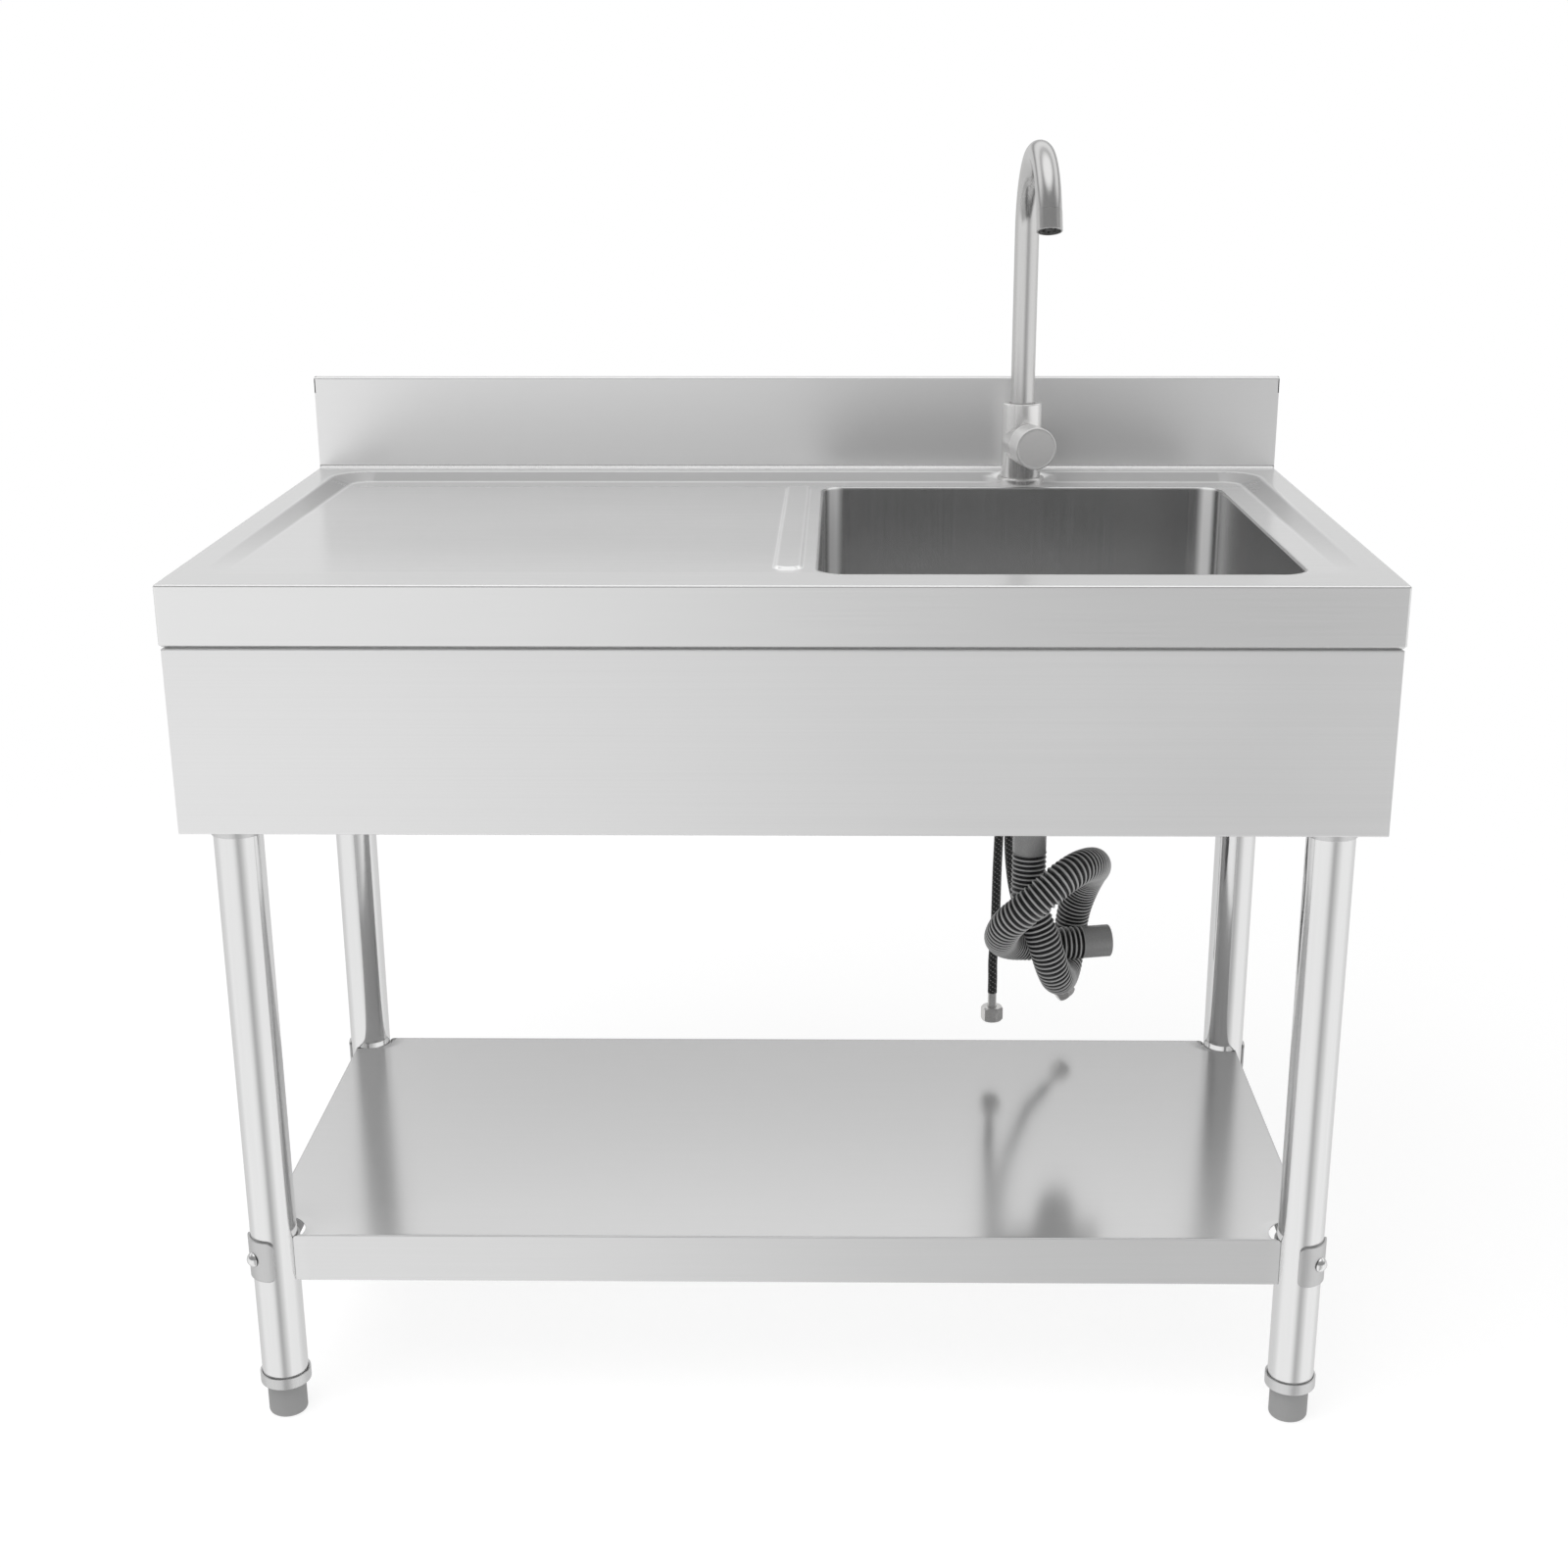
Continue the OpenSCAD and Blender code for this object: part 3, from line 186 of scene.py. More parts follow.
def make_object(name, part, body, replaces=(), slot=None, finish=None, wall=0, sharp=40,
        attributes=None, uv=None):
    """Puts a surface into a mesh, welds its doubles, gives it a wall on its back, a material and its
    body. The finish is the name of its material where that isn't the name of its slot."""
    points, faces = part
    used, numbers = np.unique(faces, return_inverse=True)
    if len(used) < len(points):
        points, faces = points[used], numbers.reshape(faces.shape)
    mesh = bpy.data.meshes.new(name)
    mesh.vertices.add(len(points))
    mesh.vertices.foreach_set("co", (points * MM).astype(np.float32).ravel())
    mesh.loops.add(faces.size)
    mesh.loops.foreach_set("vertex_index", faces.astype(np.int32).ravel())
    mesh.polygons.add(len(faces))
    mesh.polygons.foreach_set("loop_start", np.arange(0, faces.size, faces.shape[1], dtype=np.int32))
    for key, values in (attributes or {}).items():
        mesh.attributes.new(key, "FLOAT", "POINT").data.foreach_set("value", values.astype(np.float32))
    if uv is not None:
        mesh.uv_layers.new(name="along").data.foreach_set("uv", uv.astype(np.float32).ravel())
    mesh.update(calc_edges=True)
    mesh.validate()
    if attributes is None:
        shape = bmesh.new()
        shape.from_mesh(mesh)
        bmesh.ops.remove_doubles(shape, verts=shape.verts, dist=WELD)
        bmesh.ops.dissolve_degenerate(shape, edges=shape.edges, dist=1e-7)
        shape.to_mesh(mesh)
        shape.free()
    mesh.polygons.foreach_set("use_smooth", np.ones(len(mesh.polygons), bool))
    mesh.set_sharp_from_angle(angle=math.radians(sharp))
    piece = added(name, mesh)
    if wall:
        solid = piece.modifiers.new("wall", "SOLIDIFY")
        solid.thickness = wall * MM
        solid.offset = -1
        even = piece.modifiers.new("flat_faces_stay_flat", "WEIGHTED_NORMAL")
        even.keep_sharp = True
    mesh.materials.append(MATERIALS[finish or slot])
    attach(piece, body)
    if replaces:
        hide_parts(*([replaces] if isinstance(replaces, str) else replaces))
    print(name, len(mesh.polygons), "faces")
    return piece

# %% [markdown]
# ## Finishes
# Most of the sink is stainless steel. What tells one steel piece from another is how it was
# finished: sheets are brushed in one direction, and tubes and the tap are polished along their
# length. Brushing leaves fine parallel scratches that blur reflections across them. The scratches
# could be drawn as an image, but noise that is stretched along the brushing never repeats and
# keeps its scale on every piece. One group makes them, and each finish uses it with its own
# direction and depth.

# %% Node helpers
def node(tree, kind, settings=None, **inputs):
    """A node with its settings and inputs. An input is a socket to link from or a plain value. It is
    named as in Blender, or i0, i1 and so on by its place."""
    made = tree.nodes.new(kind)
    for key, value in (settings or {}).items():
        setattr(made, key, value)
    for key, value in inputs.items():
        socket = made.inputs[int(key[1:])] if key[1:].isdigit() else made.inputs[key.replace("_", " ")]
        if isinstance(value, bpy.types.NodeSocket):
            tree.links.new(value, socket)
        else:
            socket.default_value = value
    return made

def math_node(tree, operation, *values):
    """The result of one step of arithmetic on sockets or plain values."""
    inputs = {f"i{k}": value for k, value in enumerate(values)}
    return node(tree, "ShaderNodeMath", {"operation": operation}, **inputs).outputs[0]

def vector_node(tree, operation, *values, **inputs):
    """The vector that one step of vector arithmetic gives."""
    inputs |= {f"i{k}": value for k, value in enumerate(values)}
    return node(tree, "ShaderNodeVectorMath", {"operation": operation}, **inputs).outputs[0]

def feed(target, **sources):
    """Links what feeds a node's inputs, by their names."""
    for name, source in sources.items():
        target.id_data.links.new(source, target.inputs[name.replace("_", " ")])

print("helpers for nodes are ready")

# %% Grain
def shared_group(name, inputs, outputs):
    """An empty node group with named sockets, and its two end nodes."""
    tree = bpy.data.node_groups.new(name, "ShaderNodeTree")
    for label, kind, value in inputs:
        tree.interface.new_socket(name=label, in_out="INPUT", socket_type=kind).default_value = value
    for label in outputs:
        tree.interface.new_socket(name=label, in_out="OUTPUT", socket_type="NodeSocketFloat")
    return tree, tree.nodes.new("NodeGroupInput"), tree.nodes.new("NodeGroupOutput")

def noise(tree, place, scale, **settings):
    """The outputs of a noise texture."""
    return node(tree, "ShaderNodeTexNoise", Vector=place, Scale=scale, **settings).outputs

def object_place(tree):
    """Places in the piece's own metres."""
    return node(tree, "ShaderNodeTexCoord").outputs["Object"]

GRAIN, start, end = shared_group("brushed_grain", [("Stretch", "NodeSocketVector", (20, 20, 20))],
    ["Grain", "Cloud"])
place = object_place(GRAIN)
stretched = vector_node(GRAIN, "MULTIPLY", place, start.outputs[0])
feed(end, Grain=noise(GRAIN, stretched, 1.0, Detail=3.0, Roughness=0.6)[0],
    Cloud=noise(GRAIN, place, 3.2, Detail=2.0, Roughness=0.5)[0])
print("group", GRAIN.name)

# %% [markdown]
# Steel that is used also has marks of handling: long faint wipes where it is a little duller. They
# are noise of a higher scale, bent by a slower noise so that they don't run dead straight, and only
# its highest parts count.

# %% Handling marks
def step(tree, value, low, high, start=0.0, end=1.0, kind="LINEAR"):
    """Goes from start to end while the value goes from low to high."""
    return node(tree, "ShaderNodeMapRange", {"interpolation_type": kind}, Value=value,
        From_Min=low, From_Max=high, To_Min=start, To_Max=end).outputs[0]

def soft_step(tree, value, low, high, start=0.0, end=1.0):
    """The same with a soft start and a soft end."""
    return step(tree, value, low, high, start, end, "SMOOTHSTEP")

MARKS, start, end = shared_group("handling_marks", [("Size", "NodeSocketFloat", 60.0)], ["Marks"])
place = object_place(MARKS)
bent = noise(MARKS, place, 5.0, Detail=1.0)["Color"]
moved = vector_node(MARKS, "MULTIPLY_ADD", bent, (0.08, 0.08, 0.08), place)
long = vector_node(MARKS, "MULTIPLY", moved, (0.12, 1.0, 1.0))
thin = noise(MARKS, long, start.outputs[0], Detail=4.0, Roughness=0.7)[0]
feed(end, Marks=soft_step(MARKS, thin, 0.5, 0.85))
print("group", MARKS.name)

# %% [markdown]
# Each steel differs in its grey, its gloss and its grain, so one function makes them all from those
# values. The sheets aren't fully metallic: a thin film of oxide and lacquer scatters some light,
# and evens out the tones of wide flat faces, as in the photo.

# %% Steel
def new_material(name):
    """A material with nodes, its tree and its Principled BSDF."""
    material = bpy.data.materials.new(name)
    material.use_nodes = True
    MATERIALS[name] = material
    return material.node_tree, material.node_tree.nodes["Principled BSDF"]

def colour_mix(tree, share, first, second):
    """A mix of two colours, each of them a socket or red, green, blue and 1."""
    return node(tree, "ShaderNodeMix", {"data_type": "RGBA"}, i0=share, i6=first, i7=second).outputs[2]

def shade(colour, times):
    """A colour made lighter or darker, as red, green, blue and 1."""
    return [min(1, c * times) for c in colour] + [1]

def steel(name, colour, rough, stretch, bump=0.06, spread=0.05, uneven=0.05, marks=0.02, metallic=1.0):
    """Metal whose colour, roughness and bump follow the grain, the slow cloud and the handling marks."""
    tree, shader = new_material(name)
    grain = node(tree, "ShaderNodeGroup", {"node_tree": GRAIN}, Stretch=stretch)
    worn = node(tree, "ShaderNodeGroup", {"node_tree": MARKS}, Size=70.0).outputs["Marks"]
    half_cloud = math_node(tree, "MULTIPLY", grain.outputs["Cloud"], 0.5)
    both = math_node(tree, "MULTIPLY_ADD", grain.outputs["Grain"], 0.5, half_cloud)
    mixed = colour_mix(tree, step(tree, both, 0.35, 0.65), shade(colour, 1 - spread), shade(colour, 1 + spread))
    level = step(tree, both, 0.35, 0.65, rough - uneven, rough + uneven)
    raised = node(tree, "ShaderNodeBump", Strength=bump, Distance=0.0004, Height=grain.outputs["Grain"])
    feed(shader, Base_Color=mixed, Roughness=math_node(tree, "MULTIPLY_ADD", worn, marks, level),
        Normal=raised.outputs[0])
    shader.inputs["Metallic"].default_value = metallic

print("steel can be made from", GRAIN.name, "and", MARKS.name)

# %% The steels of the sink
def grey(level, warm=0.0):
    """A linear colour from the grey that a screen would show, a little warmer or cooler."""
    value = (level / 255) ** 2.2
    return (value * (1 + warm), value, value * (1 - warm))

steel("sheet_steel", grey(232), 0.19, (6, 500, 500), bump=0.006, spread=0.015, uneven=0.02, metallic=0.76)
steel("deck_steel", grey(238), 0.22, (6, 500, 500), bump=0.006, spread=0.015, uneven=0.02, metallic=0.55)
steel("splash_steel", grey(240), 0.28, (3, 260, 260), bump=0.0005, spread=0.004, uneven=0.004, marks=0.0,
    metallic=0.7)
steel("shelf_steel", grey(224), 0.17, (5, 500, 500), bump=0.004, spread=0.015, uneven=0.02, metallic=0.64)
steel("bowl_steel", grey(198), 0.24, (350, 350, 6), bump=0.006, spread=0.02, uneven=0.03, metallic=0.9)
steel("skirt_steel", grey(236), 0.34, (2.5, 60, 600), bump=0.01, spread=0.02, metallic=0.8)
steel("frame_steel", grey(190), 0.45, (60, 60, 60), bump=0.1)
steel("socket_steel", grey(205), 0.30, (500, 500, 25), bump=0.03)
steel("leg_tube", grey(228), 0.15, (320, 320, 5), bump=0.015, spread=0.02, uneven=0.03)
steel("clamp_steel", grey(198), 0.34, (700, 700, 40), bump=0.04)
steel("fastener_steel", grey(230), 0.16, (300, 300, 300), bump=0.02)
steel("spout_steel", grey(206, 0.006), 0.2, (600, 600, 12), bump=0.004, spread=0.04, uneven=0.02, metallic=0.96)
steel("tap_steel", grey(238, 0.006), 0.22, (600, 600, 12), bump=0.02, spread=0.04, uneven=0.04, metallic=0.85)
steel("control_steel", grey(236, 0.006), 0.4, (300, 300, 300), bump=0.02, spread=0.02, uneven=0.04, metallic=0.6)
steel("waste_steel", grey(215), 0.18, (200, 200, 200), bump=0.03)
steel("fitting_steel", grey(222, 0.01), 0.2, (250, 250, 250), bump=0.03)
steel("brass", (0.55, 0.36, 0.13), 0.3, (60, 60, 900), bump=0.06)
print("steels", len(MATERIALS))

# %% [markdown]
# The sloping band of the worktop is painted darker as shade, and its bends are painted lighter as
# highlights. The mesh carries both as one number per point in an attribute: minus one is full
# painted shade on a slope, and above zero is a painted highlight on a bend.

# %% Painted shade and highlights of the worktop
def finish_nodes(name):
    """A material's tree, its Principled BSDF and what feeds its colour so far."""
    tree = MATERIALS[name].node_tree
    shader = tree.nodes["Principled BSDF"]
    return tree, shader, shader.inputs["Base Color"].links[0].from_socket

# Painted shade on the slopes darkens the grey, and painted highlights on the bends lighten it.
SLOPE_SHADE, BEND_HIGHLIGHT = 0.62, 1.38
tree, shader, colour = finish_nodes("deck_steel")
slope_shade_bend_highlight = node(tree, "ShaderNodeAttribute", {"attribute_name": "slope_shade_bend_highlight"}).outputs["Fac"]
share = step(tree, slope_shade_bend_highlight, -1.0, 1.0, SLOPE_SHADE, BEND_HIGHLIGHT)
feed(shader, Base_Color=vector_node(tree, "SCALE", colour, Scale=share))
print("deck steel takes", SLOPE_SHADE, "to", BEND_HIGHLIGHT, "times its grey")

# %% [markdown]
# The bowl's upright corners are painted pale and less metallic, as painted highlights where their
# rounds mirror the light. The mask is the distance in the plan from the point where a corner's bend
# ends. Folding the plan about the bowl's middle with absolute values makes one corner serve all four.

# %% Painted highlights in the corners of the bowl
BOWL_MIDDLE, CORNER = (0.229, -0.0215, 0), (0.1895, 0.2305, 0)
tree, shader, colour = finish_nodes("bowl_steel")
plan = vector_node(tree, "SUBTRACT", object_place(tree), BOWL_MIDDLE)
plan = vector_node(tree, "MULTIPLY", vector_node(tree, "ABSOLUTE", plan), (1, 1, 0))
off = node(tree, "ShaderNodeVectorMath", {"operation": "DISTANCE"}, i0=plan, i1=CORNER).outputs["Value"]
# A pale colour with less metal, painted as a highlight in each corner.
highlit = soft_step(tree, off, 0.003, 0.014, 1.0, 0.0)
feed(shader, Base_Color=colour_mix(tree, highlit, colour, (0.95, 0.95, 0.95, 1)),
    Metallic=math_node(tree, "MULTIPLY_ADD", highlit, -0.75, 0.92))
print("bowl corners are ground pale")

# %% [markdown]
# The plastics are moulded: their skin has a fine pebble from the mould, and dust and handling make
# the gloss uneven. The drain hose reads how far a point lies up its rib: its grooves are painted
# near black as shade, and its crests keep the hose's own grey.

# %% Plastics and rubber
def plastic(name, colour, rough, pebble=900.0, bump=0.12, spread=0.08):
    """Moulded plastic with a fine bump, an uneven gloss and a slow change of tone."""
    tree, shader = new_material(name)
    grain = node(tree, "ShaderNodeGroup", {"node_tree": GRAIN}, Stretch=(pebble, pebble, pebble))
    worn = node(tree, "ShaderNodeGroup", {"node_tree": MARKS}, Size=120.0).outputs["Marks"]
    mixed = colour_mix(tree, grain.outputs["Cloud"], shade(colour, 1 - spread), shade(colour, 1 + spread))
    level = step(tree, grain.outputs["Grain"], 0.3, 0.7, rough - 0.06, rough + 0.06)
    raised = node(tree, "ShaderNodeBump", Strength=bump, Distance=0.0003, Height=grain.outputs["Grain"])
    feed(shader, Base_Color=mixed, Roughness=math_node(tree, "MULTIPLY_ADD", worn, 0.08, level),
        Normal=raised.outputs[0])

plastic("foot_plastic", grey(150), 0.55)
plastic("cuff_plastic", grey(152), 0.25)
plastic("dark_plastic", grey(52), 0.45)
plastic("black_rubber", grey(34), 0.6)
plastic("hose_plastic", grey(200), 0.3, spread=0.06)
plastic("braided_hose", grey(50), 0.35)
print("finishes so far", len(MATERIALS))

# %% Painted shade in the ribs of the drain hose
tree, shader, colour = finish_nodes("hose_plastic")
rib = node(tree, "ShaderNodeAttribute", {"attribute_name": "rib"}).outputs["Fac"]
# Near black painted into the grooves as shade.
painted_groove_shade = (0.008, 0.008, 0.009, 1)
feed(shader, Base_Color=colour_mix(tree, soft_step(tree, rib, 0.4, 1.0), painted_groove_shade, colour))
print("grooves of the drain hose are dark")

# %% [markdown]
# The braid of the supply hoses is worked out from each hose's own map, u round it and v along it in
# millimetres. Two families of slanting strands lie where 12u + v / 1.7 and 12u - v / 1.7 stay the
# same. A strand's height is the absolute sine across it, and the whole numbers of both families,
# added up, say by being odd or even which one passes over. Every third strand is pale.

# %% Braid
BRAID, start, end = shared_group("crossed_strands", [("Strands", "NodeSocketFloat", 8.0),
    ("Pitch", "NodeSocketFloat", 3.0)], ["Height", "Fleck"])

def braid_node(operation, *values):
    """One step of arithmetic in the braid's group."""
    return math_node(BRAID, operation, *values)

parts = node(BRAID, "ShaderNodeSeparateXYZ", i0=node(BRAID, "ShaderNodeTexCoord").outputs["UV"])
across = braid_node("MULTIPLY", parts.outputs[0], start.outputs["Strands"])
ahead_by = braid_node("DIVIDE", parts.outputs[1], start.outputs["Pitch"])
strands = [braid_node(kind, across, ahead_by) for kind in ("ADD", "SUBTRACT")]
crown = [braid_node("ABSOLUTE", braid_node("SINE", braid_node("MULTIPLY", s, math.pi))) for s in strands]
counts = [braid_node("FLOOR", s) for s in strands]
over = braid_node("FLOORED_MODULO", braid_node("ADD", *counts), 2.0)
under = braid_node("SUBTRACT", 1.0, over)
heights = [braid_node("MULTIPLY", c, braid_node("MULTIPLY_ADD", share, 0.5, 0.5))
    for c, share in zip(crown, (over, under))]
third = braid_node("LESS_THAN", braid_node("FLOORED_MODULO", counts[0], 3.0), 0.5)
fleck = braid_node("MULTIPLY", braid_node("MULTIPLY", third, over), crown[0])
feed(end, Height=braid_node("MAXIMUM", *heights), Fleck=fleck)
print("group", BRAID.name, len(BRAID.nodes), "nodes")

# %% Braided hose
tree, shader, colour = finish_nodes("braided_hose")
braid = node(tree, "ShaderNodeGroup", {"node_tree": BRAID}, Strands=12.0, Pitch=1.7)
light_strand = colour_mix(tree, braid.outputs["Fleck"], colour, (0.42, 0.42, 0.42, 1))
raised = node(tree, "ShaderNodeBump", Strength=0.9, Distance=0.0006, Height=braid.outputs["Height"])
feed(shader, Base_Color=light_strand, Normal=raised.outputs[0])
print("finishes", sorted(MATERIALS))

# %% [markdown]
# ## The ribbed drain hose
# A flexible waste hose has a rib every few millimetres, which lets it bend tightly and keep the
# bend. It hangs from the waste, makes one loop round itself and ends in a smooth cuff. A tube is
# carried along a smooth line through the points of the CAD route, and its radius swells once per rib.

# %% Lines through points
def smooth_line(route, steps=10):
    """Points joined by cubic pieces. Each leaves a point along the chord of the point's neighbours."""
    p = np.asarray(route, float)
    q = np.vstack([2 * p[:1] - p[1:2], p, 2 * p[-1:] - p[-2:-1]])
    t = (np.arange(steps) / steps)[None, :, None]
    a, b, c, d = (q[k:len(p) - 1 + k, None] for k in range(4))
    curve = 0.5 * (2 * b + (c - a) * t + (2 * a - 5 * b + 4 * c - d) * t**2 + (3 * b - a - 3 * c + d) * t**3)
    return np.vstack([curve.reshape(-1, 3), p[-1:]])

def even_points(line, count):
    """count + 1 points at equal distances along a line, and its length."""
    s = np.concatenate([[0], np.cumsum(np.linalg.norm(np.diff(line, axis=0), axis=1))])
    stops = np.linspace(0, s[-1], count + 1)
    return np.stack([np.interp(stops, s, line[:, k]) for k in range(3)], 1), s[-1]

def frames_along(points, start):
    """Directions along a line and two cross directions that are carried along without twist: the first
    is the one before it, less its part along the line, v - d (d . v), at length 1."""
    d = np.gradient(points, axis=0)
    d /= np.linalg.norm(d, axis=1)[:, None]
    v = np.empty_like(d)
    v[0] = start - d[0] * (d[0] @ start)
    v[0] /= np.linalg.norm(v[0])
    for k in range(1, len(d)):
        v[k] = v[k - 1] - d[k] * (d[k] @ v[k - 1])
        v[k] /= np.linalg.norm(v[k])
    return d, v, np.cross(d, v)

def tube(points, radii, sides, start=(0, 1, 0)):
    """A ring of points of its own radius round each point of the line."""
    d, v, w = frames_along(points, np.asarray(start, float))
    a = np.linspace(0, 2 * math.pi, sides, endpoint=False)[None, :, None]
    spokes = np.cos(a) * v[:, None] + np.sin(a) * w[:, None]
    rings = points[:, None] + np.broadcast_to(radii, len(points))[:, None, None] * spokes
    return flipped(grid(rings, close_columns=True))

def pipe(outside, bore, sides):
    """A tube and its bore, joined by a flat ring at each end."""
    first = grid(np.stack([bore[0][:sides], outside[0][:sides]]), close_columns=True)
    last = grid(np.stack([bore[0][-sides:], outside[0][-sides:]]), close_columns=True)
    return joined([outside, bore, flipped(first), last])

# %% Drain hose
HOSE_R, BORE_R, RIB_DEPTH, RIB_STEP, PER_RIB, HOSE_SIDES = 16.6, 12.6, 2.2, 4.8, 8, 40
drain_route = [[229, -21.5, 462], [229, -21.5, 448], [229, -21.6, 434], [229, -22, 418], [233, -22, 403],
    [240, -23, 385], [248, -22, 363], [255, -16, 342], [262, -2, 325], [269, 26, 315], [275, 46, 322],
    [278, 56, 337], [280, 58, 356], [283, 55, 378], [289, 47, 402], [294, 32, 422], [295, 8, 437],
    [289, -18, 448], [275, -41, 452], [258, -55, 446], [239, -62, 432], [222, -61, 416], [209, -52, 400],
    [204, -36, 383], [206, -14, 369], [216, 3, 359], [232, 14, 354], [254, 17.5, 352], [270.5, 20, 352],
    [287, 23.5, 352]]
drain_line = smooth_line(drain_route)
ribs = 2 * round(even_points(drain_line, 10)[1] / RIB_STEP / 2)
centres, drain_length = even_points(drain_line, ribs * PER_RIB)
turn = np.arange(len(centres)) / PER_RIB * 2 * math.pi
crest = (0.5 + 0.5 * np.cos(turn)) ** 1.1
outside = tube(centres, HOSE_R - RIB_DEPTH * (1 - crest), HOSE_SIDES)
bore = flipped(tube(centres[::PER_RIB], BORE_R, HOSE_SIDES))
both_ends = 4 * HOSE_SIDES
rib_mask = np.concatenate([np.repeat(crest, HOSE_SIDES), np.zeros(len(bore[0]) + both_ends)])
drain_hose = make_object("ribbed_drain_hose", pipe(outside, bore, HOSE_SIDES), "frame",
    "drain_hose", "hose_plastic", attributes={"rib": rib_mask}, sharp=70)
print("drain hose", round(drain_length), "mm", ribs, "ribs")

# %% [markdown]
# The supply hoses hang from the tap's shank and end in free nuts. Their surface is a plain tube
# with the map that the braid needs. A face where the map closes round the hose would run back from
# one to zero, so its corners at zero count as one. Both ends close to a point inside a ferrule.

# %% Supply hoses
SUPPLY_R, SUPPLY_SIDES, SUPPLY_STEPS = 4.8, 24, 160
supply_routes = {
    "left": [[226, 246, 778.85], [226, 246, 745], [226, 245, 715], [225, 240, 670], [223, 229, 620],
        [221, 214, 570], [218, 197, 520], [215, 180, 470], [213, 162, 420], [211, 147, 385], [210, 137, 355],
        [209, 128, 325], [207, 121, 295], [207, 117, 277], [207, 117, 260]],
    "right": [[237, 246, 778.85], [237, 246, 745], [237, 245, 715], [236, 243, 670], [234, 238, 620],
        [232, 231, 560], [229, 223, 500], [227, 215, 440], [227, 209, 399], [229, 203, 368], [234, 198, 339],
        [245, 194, 305], [254, 192, 279], [263, 192, 267], [275, 192, 251]]}
for side, route in supply_routes.items():
    points, length = even_points(smooth_line(route), SUPPLY_STEPS)
    rings = tube(points, SUPPLY_R, SUPPLY_SIDES)[0].reshape(-1, SUPPLY_SIDES, 3)
    poles = [0 * rings[:1] + points[k] for k in (0, -1)]
    surface = flipped(grid(np.concatenate([poles[0], rings, poles[1]]), close_columns=True))
    around = np.tile(np.arange(SUPPLY_SIDES) / SUPPLY_SIDES, len(points) + 2)[surface[1]]
    around = np.where((np.ptp(around, axis=1, keepdims=True) > 0.5) & (around < 0.5), around + 1, around)
    along = np.pad(np.linspace(0, length, len(points)), 1, "edge").repeat(SUPPLY_SIDES)[surface[1]]
    make_object("braided_hose_" + side, surface, "frame", "supply_hose_" + side,
        "braided_hose", uv=np.stack([around.ravel(), along.ravel()], 1))
    print("supply hose", side, round(length), "mm")

# %% [markdown]
# ## The worktop
# One sheet is pressed into shape. The press leaves a flat border, a sloping band and a floor that
# falls towards the back. The sheet's edge is bent down into a rim, and at the back it is bent up
# into the backsplash. A CAD model builds such a sheet from many faces that meet. Here the height of
# the sheet over any point of the plan is one function, so that the slopes run into each other
# softly, and the grid is dense only where the sheet bends.

# %% Lines of the plan
def lines(*runs):
    """Coordinates that go through runs of (start, end, step), each run divided evenly."""
    parts = [np.linspace(a, b, max(1, round(abs(b - a) / step)), endpoint=False) for a, b, step in runs]
    return np.concatenate(parts + [[runs[-1][1]]])

def inside(x, y, x0, x1, y0, y1, r_front, r_back):
    """Distance inside a rectangle with rounded corners. It is negative outside."""
    half = np.array([x1 - x0, y1 - y0]) / 2
    r = np.where(y < (y0 + y1) / 2, r_front, r_back)
    u, v = abs(x - (x0 + x1) / 2) - half[0] + r, abs(y - (y0 + y1) / 2) - half[1] + r
    return r - np.hypot(np.maximum(u, 0), np.maximum(v, 0)) - np.minimum(np.maximum(u, v), 0)

def ramp(t, soft=0.12):
    """Goes from 0 to 1 as t does, straight in the middle and rounded over a share of t at each end."""
    t = np.clip(t, 0, 1)
    k = 1 / (1 - soft)
    low, high = k * t**2 / (2 * soft), 1 - k * (1 - t)**2 / (2 * soft)
    return np.where(t < soft, low, np.where(t > 1 - soft, high, k * (t - soft / 2)))

print("a ramp at a tenth, a half and nine tenths", ramp(np.array([0.1, 0.5, 0.9])).round(3))

# %% [markdown]
# The sheet's drawing gives the lines between border, band, floor, bar and tap seat. Between the
# border and the floor the sheet falls by the share that the distances to both lines give, which
# makes a slope of even fall on straight runs and a fair one in the corners.

# %% Height of the sheet
TOP, SPLASH, BACK, HALF = 780, 294, 306, 500
FLAT_X, FLAT_FRONT, FLAT_BACK = 498, -304, 291
RIM_LOW, SPLASH_TOP, LIP_LOW = 730, 873, 857
BAND_OUTSIDE, BAND_INSIDE = (-477, 477, -257, 271, 30, 40), (-453, 453, -251, 249, 16, 16)
BAR, BAR_HIGH = (-8, 17, -243, 216, 12, 12), 2
BOWL, BOWL_FRONT_R, BOWL_BACK_R, WASTE = (30, 428, -259, 216), 22, 28, (229, -21.5)
TAP, SEAT_Z = (231.5, 246), 771.85

def sheet_height(x, y):
    """Height of the pressed sheet. With d1 the distance inside the band's outer line and d2 that
    outside its inner line, the sheet falls from the border to the floor as d1 / (d1 + d2) grows. The
    floor itself falls 15.9 mm per metre towards the back, and 0.5 mm more along its rear end."""
    floor_z = 779.95 - 0.0159 * (y + 251) - 0.5 * ramp((y - 212) / 10, 0.4)
    d1 = np.maximum(inside(x, y, *BAND_OUTSIDE), 0)
    d2 = np.maximum(-inside(x, y, *BAND_INSIDE), 0)
    z = TOP - (TOP - floor_z) * ramp(d1 / np.maximum(d1 + d2, 1e-6))
    z = z + BAR_HIGH * ramp(inside(x, y, *BAR) / 3, 0.3)
    seat = ramp((29 - np.hypot(x - TAP[0], y - TAP[1])) / 4, 0.3)
    return z + (SEAT_Z - z) * seat

